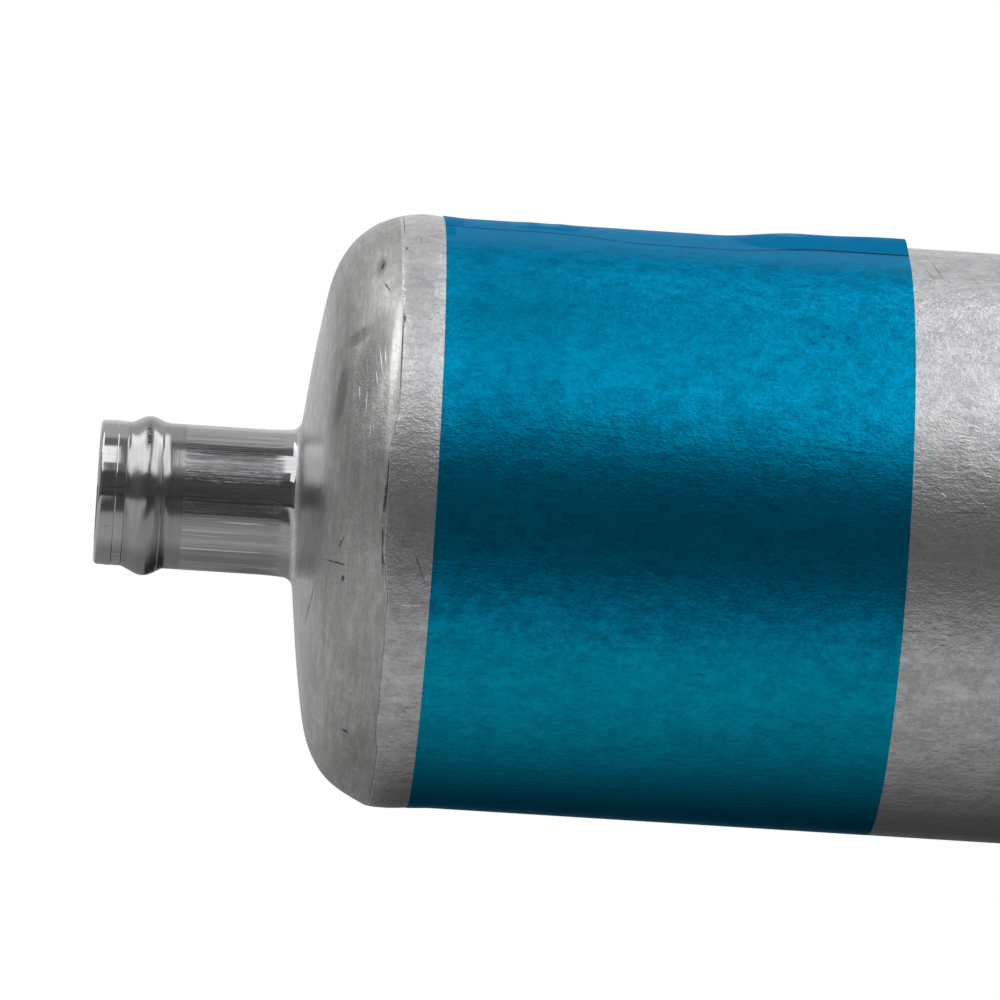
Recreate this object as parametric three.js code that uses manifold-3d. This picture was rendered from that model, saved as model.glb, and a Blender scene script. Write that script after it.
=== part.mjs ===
// Inline electric fuel pump: an internal-gear pumping stage and its motor in one extruded aluminium can.
// Millimetres. X is the pump's axis, from the inlet spigot (-X) to the outlet thread (+X), and Z is up.
// The origin is on the axis, in the middle of the can's straight wall, where its band clamp goes.
import * as THREE from "three";
import { mergeVertices } from "three/addons/utils/BufferGeometryUtils.js";
import Module from "manifold-3d";

const wasm = await Module();
wasm.setup();

const degrees = THREE.MathUtils.degToRad;

// Clearances and shared allowances
const fit = 0.3; // between pieces that fit in or round each other
const seam = 0.1; // between flat faces that lie on each other
const overrun = 1; // how far a cut runs past the face that it opens, and a join past its face
const bigSides = 36; // facets of a round piece as wide as the can
const smallSides = 16; // facets of a round piece a few millimetres across

// Can: straight wall, domed end and rolled rim
const canRadius = 30;
const canWall = 1.6;
const canLength = 133;
const domeWall = 3.1;
const domeAngle = degrees(8); // how far the dome's face leans back from square
const cornerRadius = 8.3;
const cornerSteps = 6;
const shoulderDepth = 1.5; // from the end of the corner to the shoulder that the pump stage seats on
const rimRadius = 2.2;
const rimLip = 5;
const rimSteps = 2;

// Hose spigot, one piece with the can
const spigotRadius = 7.4;
const spigotBore = 5.5;
const spigotLength = 20.5;
const rootFillet = 1.5;
const filletSteps = 2;
const lipLength = 1.9;
const lipRound = 0.5;
const lipStep = 0.1; // the barrel is turned this much smaller between lip and bead
const beadPlace = 4.8; // from the spigot's end to the bead's crest
const beadWidth = 3.05;
const beadHeight = 0.7;
const beadSteps = 6;

// Tinted film round the can
const wrapInset = 2.5; // from the end of the corner to the film's edge
const wrapWidth = 46.6;
const wrapThickness = 0.3;
const wrapLapThickness = 0.35;
const wrapLapFrom = degrees(80);
const wrapLapTo = degrees(105);

// Inlet strainer
const strainerSeatRadius = 10;
const strainerFlange = 0.8;
const strainerWall = 0.6;
const strainerDepth = 6;

// Pump stage: plates, ring and what clamps them
const intakeThickness = 9;
const portThickness = 7;
const portHub = 4; // how far the front bearing's hub stands behind the port plate
const ringGrooveDepth = 2.4;
const ringGrooveWidth = 3;
const ringSection = 1.05; // section radius of both O-rings
const ringSectionSteps = 6;
const screwInset = 0.5; // between the screws' heads and the flux tube round them
const screwWall = 1.4; // between a screw's hole and the rotors' chamber
const screwRadius = 1.5;
const screwHeadRadius = 2.7;
const screwHeadHeight = 2.6;
const screwGrip = 6; // thread in the intake plate
const screwAngles = [30, 150, 270].map(degrees);
const dowelRadius = 1.5;
const dowelDepth = 5;
const dowelAngles = [210, 330].map(degrees);
const kidneySpan = degrees(130);
const kidneySteps = 6;
const pilotDepth = 2.4; // recess in the intake plate for the shaft's end

// Relief valve, in the intake plate
const reliefInset = 1; // how much nearer to the pump's axis it lies than the screws
const reliefAngle = degrees(90);
const reliefPassage = 1.3;
const reliefChamber = 2.5;
const reliefBossRadius = 3.8;
const reliefSeatThickness = 2.5;
const reliefBall = 2.1;
const reliefPlugLength = 2.2;
const reliefPlugHole = 1.1;
const reliefTravel = 1.5;
const reliefCoil = 1.7;
const reliefWire = 0.25;
const reliefTurns = 4;

// Rotors
const innerTeeth = 6;
const rotorLength = 10;
const toothSteps = 8;
const toothEvenShare = 0.8; // how far the outline's points are drawn into the valleys
const pinSteps = 5;
const rootSteps = 1;

// Radii in the rotors' chamber, as shares of its reach from the pump's axis
const rotorShares = {
  outer: 12 / 13,
  eccentric: 1 / 13,
  pinCentres: 32 / 39, // centres of the outer rotor's round teeth
  pin: 10 / 39,
  coupling: 62 / 195, // drive coupling in the inner rotor
  couplingFlat: 16 / 65,
  stub: 2 / 13, // the shaft's end in the drive coupling
  stubFlat: 8 / 65,
  kidneyInner: 20 / 39,
  kidneyOuter: 9 / 13,
};

// Field: tube, magnets and their clips
const tubeWall = 1.9;
const magnetThickness = 4.3;
const magnetSpan = degrees(130);
const magnetFront = 5; // from the tube's front end to the magnets
const magnetRear = 9;
const magnetSteps = 10;
const clipThickness = 0.8;
const clipTab = 2.4;
const clipEndGap = degrees(1.2); // between a clip's tab and the magnet that it presses on
const clipInset = 4; // how much shorter than the magnets it is, at each end
const clipSteps = 4;

// Armature
const shaftRadius = 4;
const waistStep = 2; // how much the shaft is thicker under the core
const shaftWaistLead = 3; // how far the thick part stands out of the core
const coreFront = 8; // from the tube's front end to the core
const coreRear = 12;
const airGap = 0.7;
const slotCount = 12;
const slotFloorShare = 60 / 149; // of the way from the shaft's waist to the core's outside
const slotWidthShare = 11 / 30; // of the radius of the slots' floor
const headLength = 6;
const headRound = 1.6;
const headStep = 2; // from the slots' floor in to the winding's heads
const commutatorShare = 5 / 8; // of the way from the shaft to the slots' floor
const commutatorLength = 16;
const riserStep = 0.5; // from the slots' floor in to the risers
const riserLength = 1.5;
const barGroove = 0.6;
const barGrooveDepth = 0.8;
const washerThickness = 0.8;
const thrustWasherWidth = 3.2;

// Bearings
const bearingWall = 2.5;
const portHubWall = 2;
const bridgeHubWall = 2.5;
const bearingLength = 6;
const bearingLip = 1.5; // wall that stops the bearing in its hub

// Brush holder
const holderThickness = 4;
const holderGap = 1; // between the commutator and the holder's disc round it
const brushWidth = 6; // round the commutator
const brushDepth = 7; // along the shaft
const boxWall = 1.5;
const boxCap = 1.2;
const boxGap = 1.2; // between the commutator and the mouth of a brush box
const boxInset = 0.7; // between a brush box's end and the cover's skirt
const bridgeInset = 4.5; // between the bridge and the cover's skirt
const bridgeLeg = 4;
const bridgeHalfHeight = 6;
const bridgeThickness = 6;
const bridgeRoom = 9.5; // from the bridge to the outlet fitting
const brushTravel = 2.5;
const brushCoil = 2.1;
const brushWire = 0.3;
const brushTurns = 5;

// Chokes, on the bridge
const chokeRadius = 3.2;
const chokeLength = 10;
const chokeRidges = 6;
const chokeRidgeDepth = 0.5;

// End cover
const coverSkirt = 2.6;
const coverPlate = 8;
const coverBoss = 2.5; // how far its face stands out of the rolled rim's seat
const coverHubRadius = 10;
const coverHubLength = 6;
const coverGroovePlace = 2.6; // from its flange face to the O-ring groove

// Terminals: positive and negative differ, so that the leads can't be swapped
const terminalGap = 5; // from the edge of the cover's hub to each stud's axis
const terminals = {
  positive: { side: 1, thread: 2.5, head: 4.4, flats: 8, washer: 5 },
  negative: { side: -1, thread: 2, head: 3.8, flats: 7, washer: 4.5 },
};
const studHeadLength = 2.5;
const studReach = 14.5; // from the cover's face to the stud's end
const studChamfer = 0.5;
const baseNutLength = 2.6;
const terminalWasher = 1;
const terminalNutLength = 4;
const lugSpace = 2.4; // room that the upper nut leaves for a ring terminal

// Outlet fitting with the non-return valve
const threadRadius = 6;
const threadLength = 14;
const threadChamfer = 0.8;
const threadRelief = 0.7;
const threadReliefLength = 2;
const hexFlats = 17;
const hexLength = 7.5;
const outletBore = 3.8;
const seatBore = 2.2;
const seatThickness = 5;
const outletWasherRadius = 8.3;
const outletWasherThickness = 1.5;
const plungerHead = 3.3;
const plungerHeadLength = 2;
const plungerNose = 1.8;
const plungerNoseLength = 1.2;
const plungerStem = 1.2;
const plungerTravel = 2.5;
const stopLength = 1.7;
const checkCoil = 2.3;
const checkWire = 0.3;
const checkTurns = 6;

// Springs
const coilSteps = 6;
const wireSides = 4;

// Places along X that follow from the sizes
const canStart = -canLength / 2;
const canEnd = canLength / 2;
const canBore = canRadius - canWall;
const stackRadius = canBore - fit;
const skirtBore = stackRadius - coverSkirt;
const cornerCentre = canRadius - cornerRadius;
const intakeStart = canStart + shoulderDepth + seam;
const intakeEnd = intakeStart + intakeThickness;
const ringStart = intakeEnd + seam;
const ringLength = rotorLength + 2 * fit;
const ringEnd = ringStart + ringLength;
const portStart = ringEnd + seam;
const portEnd = portStart + portThickness;
const rimInner = canEnd + rimRadius - canWall;
const coverTop = rimInner - seam;
const coverFace = coverTop + coverBoss;
const coverInside = coverTop - coverPlate;
const coverHubEnd = coverInside - coverHubLength;
const bridgeEnd = coverHubEnd - bridgeRoom;
const bridgeStart = bridgeEnd - bridgeThickness;
const boxDepth = brushDepth + 2 * fit + 2 * boxWall;
const boxX = bridgeStart - fit - boxDepth / 2;
const holderStart = boxX - boxDepth / 2 + boxWall - holderThickness;
const tubeStart = portEnd + seam;
const tubeEnd = holderStart - seam;
const tubeLength = tubeEnd - tubeStart;
const tubeBore = stackRadius - tubeWall;
const magnetOuter = tubeBore - fit;
const magnetInner = magnetOuter - magnetThickness;
const magnetLength = tubeLength - magnetFront - magnetRear;
const coreRadius = magnetInner - airGap;
const coreStart = tubeStart + coreFront;
const coreLength = tubeLength - coreFront - coreRear;
const coreEnd = coreStart + coreLength;
const fittingStart = coverHubEnd;
const hexStart = coverFace + seam;
const hexEnd = hexStart + hexLength;
const outletEnd = hexEnd + threadLength;
const seatX = fittingStart + seatThickness;

// Radii that follow: the screws lie inside the flux tube, and the rotors' chamber inside the screws
const clampCircle = tubeBore - screwInset - screwHeadRadius;
const rotorReach = clampCircle - screwRadius - screwWall - 2 * fit;
const outerRotorRadius = rotorShares.outer * rotorReach;
const eccentricity = rotorShares.eccentric * rotorReach;
const pinCircle = rotorShares.pinCentres * rotorReach;
const pinRadius = rotorShares.pin * rotorReach;
const kidneyInner = rotorShares.kidneyInner * rotorReach;
const kidneyOuter = rotorShares.kidneyOuter * rotorReach;
const reliefCircle = clampCircle - reliefInset;
const couplingRadius = rotorShares.coupling * rotorReach;
const couplingFlat = rotorShares.couplingFlat * rotorReach;
const stubRadius = rotorShares.stub * rotorReach;
const stubFlat = rotorShares.stubFlat * rotorReach;
const shaftWaist = shaftRadius + waistStep;
const bearingRadius = shaftRadius + bearingWall;
const portHubRadius = bearingRadius + portHubWall;
const bearingHubRadius = bearingRadius + bridgeHubWall;
const thrustWasherRadius = shaftRadius + thrustWasherWidth;
const slotFloor = shaftWaist + slotFloorShare * (coreRadius - shaftWaist);
const slotWidth = slotWidthShare * slotFloor;
const headInner = slotFloor - headStep;
const commutatorRadius = shaftRadius + commutatorShare * (slotFloor - shaftRadius);
const riserRadius = slotFloor - riserStep;
const holderHole = commutatorRadius + holderGap;
const bridgeHalfWidth = skirtBore - bridgeInset;
const terminalOffset = coverHubRadius + terminalGap;

// Springs and the room that they need: each is as long as its travel and its closed turns together
const closedCoil = (turns, wire) => (turns + 1) * 2 * wire;
const brushSeat = commutatorRadius + fit;
const brushSpringLength = brushTravel + closedCoil(brushTurns, brushWire);
const boxStart = commutatorRadius + boxGap;
const boxEnd = skirtBore - boxInset;
const brushLength = boxEnd - boxCap - brushSpringLength - 2 * seam - brushSeat;
const checkSpringLength = plungerTravel + closedCoil(checkTurns, checkWire);
const reliefSpringLength = reliefTravel + closedCoil(reliefTurns, reliefWire);
const reliefSeat = intakeThickness - reliefSeatThickness;
const ballX = reliefSeat - Math.sqrt(reliefBall ** 2 - reliefPassage ** 2) - fit / 2;
const reliefSpringEnd = ballX - Math.sqrt(reliefBall ** 2 - reliefCoil ** 2) - fit;
const reliefSpringStart = reliefSpringEnd - reliefSpringLength;
const reliefPlugX = reliefSpringStart - seam - reliefPlugLength;

// Points and outlines

// The axes of a shape drawn flat in X and Y, stood up in Y and Z and thickened along X
const acrossAxis = new THREE.Matrix4().makeBasis(
  new THREE.Vector3(0, 1, 0),
  new THREE.Vector3(0, 0, 1),
  new THREE.Vector3(1, 0, 0),
);

// The axes of a shape turned about Y, laid along X
const alongAxis = new THREE.Matrix4().makeBasis(
  new THREE.Vector3(0, 0, 1),
  new THREE.Vector3(1, 0, 0),
  new THREE.Vector3(0, 1, 0),
);

function arcPoints(a, b, radius, from, to, steps) {
  const points = [];
  for (let i = 0; i <= steps; i++) {
    const angle = from + ((to - from) * i) / steps;
    points.push([a + radius * Math.cos(angle), b + radius * Math.sin(angle)]);
  }
  return points;
}

function circle(radius, sides, y = 0, z = 0) {
  return arcPoints(y, z, radius, 0, 2 * Math.PI, sides).slice(0, sides);
}

function polar(radius, angle) {
  return [radius * Math.cos(angle), radius * Math.sin(angle)];
}

// A stretch of a ring between two radii, centred on an angle
function arcBand(inner, outer, middle, span, steps) {
  const from = middle - span / 2;
  const to = middle + span / 2;
  return [...arcPoints(0, 0, outer, from, to, steps), ...arcPoints(0, 0, inner, to, from, steps)];
}

function hexagon(flats, y = 0, z = 0) {
  const corner = flats / Math.sqrt(3);
  return arcPoints(y, z, corner, Math.PI / 6, Math.PI / 6 + 2 * Math.PI, 6).slice(0, 6);
}

// A circle with two flats
function doubleFlat(radius, flat) {
  const cut = Math.asin(flat / radius);
  const right = arcPoints(0, 0, radius, -cut, cut, smallSides / 4);
  return [...right, ...right.map(([y, z]) => [-y, -z])];
}

function rectangle(width, height, y = 0, z = 0) {
  const [w, h] = [width / 2, height / 2];
  return [[y - w, z - h], [y + w, z - h], [y + w, z + h], [y - w, z + h]];
}

// Solids

// A round solid about X from [x, radius] points that start and end on the axis
function turned(profile, sides = bigSides) {
  const points = profile.map(([x, radius]) => new THREE.Vector2(radius, x));
  if (THREE.ShapeUtils.area(points) < 0) points.reverse();
  return new THREE.LatheGeometry(points, sides).applyMatrix4(alongAxis);
}

// A ring about X from [x, radius] points that go round its section
function turnedRing(section, sides = bigSides) {
  const points = section.map(([x, radius]) => new THREE.Vector2(radius, x));
  if (THREE.ShapeUtils.area(points) < 0) points.reverse();
  points.push(points[0].clone());
  return new THREE.LatheGeometry(points, sides).applyMatrix4(alongAxis);
}

function tube(length, inner, outer, sides = bigSides) {
  return turnedRing([[0, inner], [0, outer], [length, outer], [length, inner]], sides);
}

function rod(length, radius, sides = smallSides) {
  return turned([[0, 0], [0, radius], [length, radius], [length, 0]], sides);
}

// A flat outline in Y and Z, with its holes, from x = 0 to its thickness
function plate(outline, thickness, holes = []) {
  const shape = new THREE.Shape(outline.map(([y, z]) => new THREE.Vector2(y, z)));
  for (const hole of holes) shape.holes.push(new THREE.Path(hole.map(([y, z]) => new THREE.Vector2(y, z))));
  const settings = { depth: thickness, bevelEnabled: false };
  return new THREE.ExtrudeGeometry(shape, settings).applyMatrix4(acrossAxis);
}

class Helix extends THREE.Curve {
  constructor(radius, length, turns) {
    super();
    Object.assign(this, { radius, length, turns });
  }

  getPoint(share, target = new THREE.Vector3()) {
    const angle = share * this.turns * 2 * Math.PI;
    return target.set(share * this.length, this.radius * Math.cos(angle), this.radius * Math.sin(angle));
  }
}

// A coil spring about X, as long as it is between its two seats
function coilSpring(radius, wire, length, turns) {
  const path = new Helix(radius, length - 2 * wire, turns);
  const section = new THREE.Shape(circle(wire, wireSides).map(([a, b]) => new THREE.Vector2(a, b)));
  const settings = { extrudePath: path, steps: turns * coilSteps, bevelEnabled: false };
  return new THREE.ExtrudeGeometry(section, settings).translate(wire, 0, 0);
}

function toSolid(geometry) {
  const bare = geometry.clone();
  bare.deleteAttribute("normal");
  bare.deleteAttribute("uv");
  const merged = mergeVertices(bare);
  return new wasm.Manifold(
    new wasm.Mesh({
      numProp: 3,
      vertProperties: merged.attributes.position.array,
      triVerts: new Uint32Array(merged.index.array),
    }),
  );
}

function toGeometry(solid) {
  const mesh = solid.getMesh();
  return new THREE.BufferGeometry()
    .setAttribute("position", new THREE.BufferAttribute(mesh.vertProperties, 3))
    .setIndex(new THREE.BufferAttribute(mesh.triVerts, 1));
}

function join(first, ...others) {
  return toGeometry(others.reduce((whole, piece) => whole.add(toSolid(piece)), toSolid(first)));
}

function cut(first, ...tools) {
  return toGeometry(tools.reduce((whole, tool) => whole.subtract(toSolid(tool)), toSolid(first)));
}

// Materials

function finish(color, roughness, metalness) {
  return new THREE.MeshStandardMaterial({ color, roughness, metalness });
}

const aluminium = finish("#b9babb", 0.35, 1);
const blueFilm = finish("#0b86b4", 0.2, 0.4);
const steel = finish("#8d9094", 0.4, 1);
const sintered = finish("#6d6c69", 0.6, 0.9);
const zinc = finish("#b4b5ae", 0.35, 1);
const bronze = finish("#a77b4a", 0.5, 1);
const copper = finish("#b36a3e", 0.4, 1);
const ferrite = finish("#3a3a3d", 0.8, 0.1);
const carbon = finish("#2d2d2f", 0.75, 0.2);
const rubber = finish("#1c1c1d", 0.85, 0);
const blackPlastic = finish("#202124", 0.6, 0);
const palePlastic = finish("#b8ab8b", 0.55, 0);
const gauze = finish("#9aa0a4", 0.5, 1);

// Groups that move together

const pump = new THREE.Group();
const armature = new THREE.Group();
const outerRotorGroup = new THREE.Group();
const reliefGroup = new THREE.Group();
const checkGroup = new THREE.Group();
outerRotorGroup.position.y = eccentricity;
reliefGroup.position.set(intakeStart, ...polar(reliefCircle, reliefAngle));
checkGroup.position.x = seatX;
pump.add(armature, outerRotorGroup, reliefGroup, checkGroup);

function add(name, geometry, material, x = 0, y = 0, z = 0, parent = pump) {
  const mesh = new THREE.Mesh(geometry, material);
  mesh.name = name;
  mesh.position.set(x, y, z);
  parent.add(mesh);
  return mesh;
}

// Can

// Where the dome's outer face lies at a radius, and its inner face a wall further in
const coneStart = canStart - cornerRadius * Math.cos(domeAngle);
const coneRadius = cornerCentre + cornerRadius * Math.sin(domeAngle);
const domeX = (radius) => coneStart - (coneRadius - radius) * Math.tan(domeAngle);
const domeInnerX = (radius) => domeX(radius) + domeWall / Math.cos(domeAngle);
const spigotEnd = domeX(spigotRadius) - spigotLength;
const strainerSeat = domeInnerX(strainerSeatRadius);

// The spigot is one piece with the can, and stands here as a sleeve of its own up to the fillet at its root
const filletCentre = spigotRadius + rootFillet;
const filletX = domeX(filletCentre) - rootFillet / Math.cos(domeAngle);

function spigotOutline() {
  const lipX = spigotEnd + lipRound;
  const crestX = spigotEnd + beadPlace;
  const neck = spigotRadius - lipStep;
  const lip = arcPoints(lipX, spigotRadius - lipRound, lipRound, Math.PI, Math.PI / 2, 2);
  const bead = [];
  for (let i = 0; i <= beadSteps; i++) {
    const share = i / beadSteps;
    const height = beadHeight * Math.sin(Math.PI * share);
    bead.push([crestX + (share - 1 / 2) * beadWidth, spigotRadius + height]);
  }
  const neckX = spigotEnd + lipLength;
  const step = [[neckX, spigotRadius], [neckX + lipStep, neck], [bead[0][0] - lipStep, neck]];
  const root = [[filletX - seam, spigotRadius], [filletX - seam, spigotBore], [spigotEnd, spigotBore]];
  return [...lip, ...step, ...bead, ...root];
}

function canOutline() {
  const root = arcPoints(filletX, filletCentre, rootFillet, -Math.PI / 2, -domeAngle, filletSteps);
  const cornerTurn = Math.PI - domeAngle;
  const corner = arcPoints(canStart, cornerCentre, cornerRadius, cornerTurn, Math.PI / 2, cornerSteps);
  const rim = arcPoints(canEnd, canRadius - rimRadius, rimRadius, Math.PI / 2, 0, rimSteps);
  const lipRadius = canRadius - rimLip;
  const outside = [...corner, ...rim, [canEnd + rimRadius, lipRadius]];
  const shoulderX = intakeStart - seam;
  const inside = [
    [rimInner, lipRadius],
    [rimInner, canBore],
    [shoulderX, canBore],
    [shoulderX, canRadius - domeWall],
  ];
  const innerRadius = cornerRadius - domeWall;
  const innerSteps = cornerSteps / 2;
  const innerCorner = arcPoints(canStart, cornerCentre, innerRadius, Math.PI / 2, cornerTurn, innerSteps);
  const seat = [[strainerSeat, strainerSeatRadius], [strainerSeat, spigotBore], [filletX, spigotBore]];
  return [...root, ...outside, ...inside, ...innerCorner, ...seat];
}

add("pump_can", turnedRing(canOutline()), aluminium);
add("inlet_spigot", turnedRing(spigotOutline(), 2 * smallSides), aluminium);

// Film

function wrapOutline() {
  const inner = canRadius + seam;
  const outer = inner + wrapThickness;
  const single = arcPoints(0, 0, outer, wrapLapTo, wrapLapFrom + 2 * Math.PI, bigSides);
  const lap = arcPoints(0, 0, outer + wrapLapThickness, wrapLapFrom, wrapLapTo, cornerSteps / 2);
  return { outline: [...single, ...lap], hole: circle(inner, bigSides) };
}

const wrap = wrapOutline();
add("blue_wrap", plate(wrap.outline, wrapWidth, [wrap.hole]), blueFilm, canStart + wrapInset);

// Strainer

function strainerOutline() {
  const inner = spigotBore + seam;
  const outer = inner + strainerWall;
  return [
    [strainerDepth, 0],
    [strainerDepth, outer],
    [strainerFlange, outer],
    [strainerFlange, strainerSeatRadius - fit],
    [0, strainerSeatRadius - fit],
    [0, inner],
    [strainerDepth - strainerWall, inner],
    [strainerDepth - strainerWall, 0],
  ];
}

add("inlet_strainer", turned(strainerOutline(), smallSides), gauze, strainerSeat + seam);

// Pump stage

// A disc as wide as the stack with an O-ring groove, from [x, radius] points on its edge
function groovedEdge(from, to, groove) {
  const floor = stackRadius - ringGrooveDepth;
  return [
    [from, stackRadius],
    [groove, stackRadius],
    [groove, floor],
    [groove + ringGrooveWidth, floor],
    [groove + ringGrooveWidth, stackRadius],
    [to, stackRadius],
  ];
}

function clampHoles(radius, angles) {
  return angles.map((angle) => circle(radius, smallSides / 2, ...polar(clampCircle, angle)));
}

const screwHoles = clampHoles(screwRadius + fit, screwAngles);
const dowelHoles = clampHoles(dowelRadius + fit, dowelAngles);
const reliefAxis = polar(reliefCircle, reliefAngle);
const reliefHole = circle(reliefPassage, smallSides, ...reliefAxis);

function kidney(middle) {
  return arcBand(kidneyInner, kidneyOuter, middle, kidneySpan, kidneySteps);
}

// A hole of an outline cut through a stretch of X
function bored(outline, from, to) {
  return plate(outline, to - from).translate(from, 0, 0);
}

function intakePlate() {
  const groove = (intakeThickness - ringGrooveWidth) / 2;
  const edge = groovedEdge(0, intakeThickness, groove);
  const disc = turned([[0, 0], ...edge, [intakeThickness, 0]]);
  const boss = bored(circle(reliefBossRadius, smallSides, ...reliefAxis), reliefPlugX, overrun);
  const past = intakeThickness + overrun;
  const chamber = circle(reliefChamber, smallSides, ...reliefAxis);
  return cut(
    join(disc, boss),
    bored(kidney(-Math.PI / 2), -overrun, past),
    bored(chamber, reliefPlugX - overrun, reliefSeat),
    bored(reliefHole, 0, past),
    bored(circle(stubRadius + fit, smallSides), intakeThickness - pilotDepth, past),
    ...screwHoles.map((hole) => bored(hole, intakeThickness - screwGrip - overrun, past)),
    ...dowelHoles.map((hole) => bored(hole, intakeThickness - dowelDepth - fit, past)),
  );
}

function portPlate() {
  const hubEnd = portThickness + portHub;
  const disc = turned([
    [0, 0],
    [0, stackRadius],
    [portThickness, stackRadius],
    [portThickness, portHubRadius],
    [hubEnd, portHubRadius],
    [hubEnd, 0],
  ]);
  const past = portThickness + overrun;
  return cut(
    disc,
    bored(kidney(Math.PI / 2), -overrun, hubEnd + overrun),
    bored(circle(shaftRadius + 2 * fit, smallSides), -overrun, past),
    bored(circle(bearingRadius + fit, smallSides), hubEnd - bearingLength - fit, hubEnd + overrun),
    bored(reliefHole, -overrun, past),
    ...screwHoles.map((hole) => bored(hole, -overrun, past)),
    ...dowelHoles.map((hole) => bored(hole, -overrun, dowelDepth + fit)),
  );
}

function oRing() {
  const middle = stackRadius - ringGrooveDepth + fit / 2 + ringSection;
  return turnedRing(arcPoints(0, middle, ringSection, 0, 2 * Math.PI, ringSectionSteps).slice(1));
}

// A cap screw whose head's seat is at x = 0, with its thread toward -X
function capScrew(length) {
  return turned(
    [
      [-length, 0],
      [-length, screwRadius],
      [0, screwRadius],
      [0, screwHeadRadius],
      [screwHeadHeight, screwHeadRadius],
      [screwHeadHeight, 0],
    ],
    smallSides / 2,
  );
}

const ringBore = circle(outerRotorRadius + fit, bigSides, eccentricity);
const ringHoles = [ringBore, reliefHole, ...screwHoles, ...dowelHoles];

add("intake_plate", intakePlate(), sintered, intakeStart);
add("intake_o_ring", oRing(), rubber, intakeStart + intakeThickness / 2);
add("pump_ring", plate(circle(stackRadius, bigSides), ringLength, ringHoles), sintered, ringStart);
add("port_plate", portPlate(), sintered, portStart);
screwAngles.forEach((angle, i) => {
  const length = portThickness + seam + ringLength + seam + screwGrip;
  add(`pump_screw_${i + 1}`, capScrew(length), zinc, portEnd + seam, ...polar(clampCircle, angle));
});
dowelAngles.forEach((angle, i) => {
  const length = ringLength + 2 * (seam + dowelDepth);
  const pin = rod(length, dowelRadius, smallSides / 2);
  add(`pump_dowel_${i + 1}`, pin, steel, ringStart - seam - dowelDepth, ...polar(clampCircle, angle));
});

// Rotors: the outer one has round teeth, and the inner one is what those teeth leave as the two turn together

function innerRotorOutline() {
  const outerTeeth = innerTeeth + 1;
  const offset = pinRadius + fit / 2;
  const count = innerTeeth * toothSteps;
  const points = [];
  for (let i = 0; i < count; i++) {
    const turn = (2 * Math.PI * i) / count;
    const angle = turn + (toothEvenShare / innerTeeth) * Math.sin(innerTeeth * turn);
    const fast = outerTeeth * angle;
    const y = pinCircle * Math.cos(angle) + eccentricity * Math.cos(fast);
    const z = pinCircle * Math.sin(angle) + eccentricity * Math.sin(fast);
    const slopeY = -pinCircle * Math.sin(angle) - outerTeeth * eccentricity * Math.sin(fast);
    const slopeZ = pinCircle * Math.cos(angle) + outerTeeth * eccentricity * Math.cos(fast);
    const steep = Math.hypot(slopeY, slopeZ);
    points.push([y - (offset * slopeZ) / steep, z + (offset * slopeY) / steep]);
  }
  return points;
}

function outerRotorHole() {
  const teeth = innerTeeth + 1;
  const round = pinRadius - fit / 2;
  const root = pinCircle - pinRadius + 2 * eccentricity + fit;
  const rootTurn = Math.acos((pinCircle ** 2 + root ** 2 - round ** 2) / (2 * pinCircle * root));
  const pinTurn = Math.acos((pinCircle ** 2 + round ** 2 - root ** 2) / (2 * pinCircle * round));
  const points = [];
  for (let tooth = 0; tooth < teeth; tooth++) {
    const middle = (2 * Math.PI * tooth) / teeth;
    const inward = middle + Math.PI;
    const next = middle + (2 * Math.PI) / teeth;
    const centre = polar(pinCircle, middle);
    points.push(...arcPoints(...centre, round, inward + pinTurn, inward - pinTurn, pinSteps));
    points.push(...arcPoints(0, 0, root, middle + rootTurn, next - rootTurn, rootSteps + 1).slice(1, -1));
  }
  return points;
}

const rotorX = ringStart + fit;
const rotorBore = doubleFlat(couplingRadius + fit, couplingFlat + fit);
const stubBore = doubleFlat(stubRadius + fit, stubFlat + fit);
const outerRotor = plate(circle(outerRotorRadius, bigSides), rotorLength, [outerRotorHole()]);
const coupling = plate(doubleFlat(couplingRadius, couplingFlat), rotorLength, [stubBore]);
add("outer_rotor", outerRotor, sintered, rotorX, 0, 0, outerRotorGroup);
add("inner_rotor", plate(innerRotorOutline(), rotorLength, [rotorBore]), steel, rotorX, 0, 0, armature);
add("drive_coupling", coupling, palePlastic, rotorX, 0, 0, armature);

// Relief valve: the ball shuts on the passage from the pressure side and its spring sits on the plug

function reliefValve() {
  const plug = tube(reliefPlugLength, reliefPlugHole, reliefChamber - fit / 2, smallSides);
  const spring = coilSpring(reliefCoil, reliefWire, reliefSpringLength, reliefTurns);
  const ball = new THREE.SphereGeometry(reliefBall, smallSides / 2, smallSides / 2);
  add("relief_ball", ball, steel, ballX, 0, 0, reliefGroup);
  add("relief_plug", plug, steel, reliefPlugX, 0, 0, reliefGroup);
  add("relief_spring", spring, steel, reliefSpringStart, 0, 0, reliefGroup);
}

reliefValve();

// Field

function magnetClip(middle) {
  const span = Math.PI - magnetSpan - 2 * clipEndGap;
  const inner = magnetOuter - clipThickness;
  const tabTurn = clipThickness / magnetOuter;
  const half = span / 2;
  const tab = inner - clipTab;
  return plate(
    [
      ...arcPoints(0, 0, magnetOuter, middle - half, middle + half, clipSteps),
      polar(tab, middle + half),
      polar(tab, middle + half - tabTurn),
      ...arcPoints(0, 0, inner, middle + half - tabTurn, middle - half + tabTurn, clipSteps),
      polar(tab, middle - half + tabTurn),
      polar(tab, middle - half),
    ],
    magnetLength - 2 * clipInset,
  );
}

function magnet(middle) {
  return plate(arcBand(magnetInner, magnetOuter, middle, magnetSpan, magnetSteps), magnetLength);
}

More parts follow.
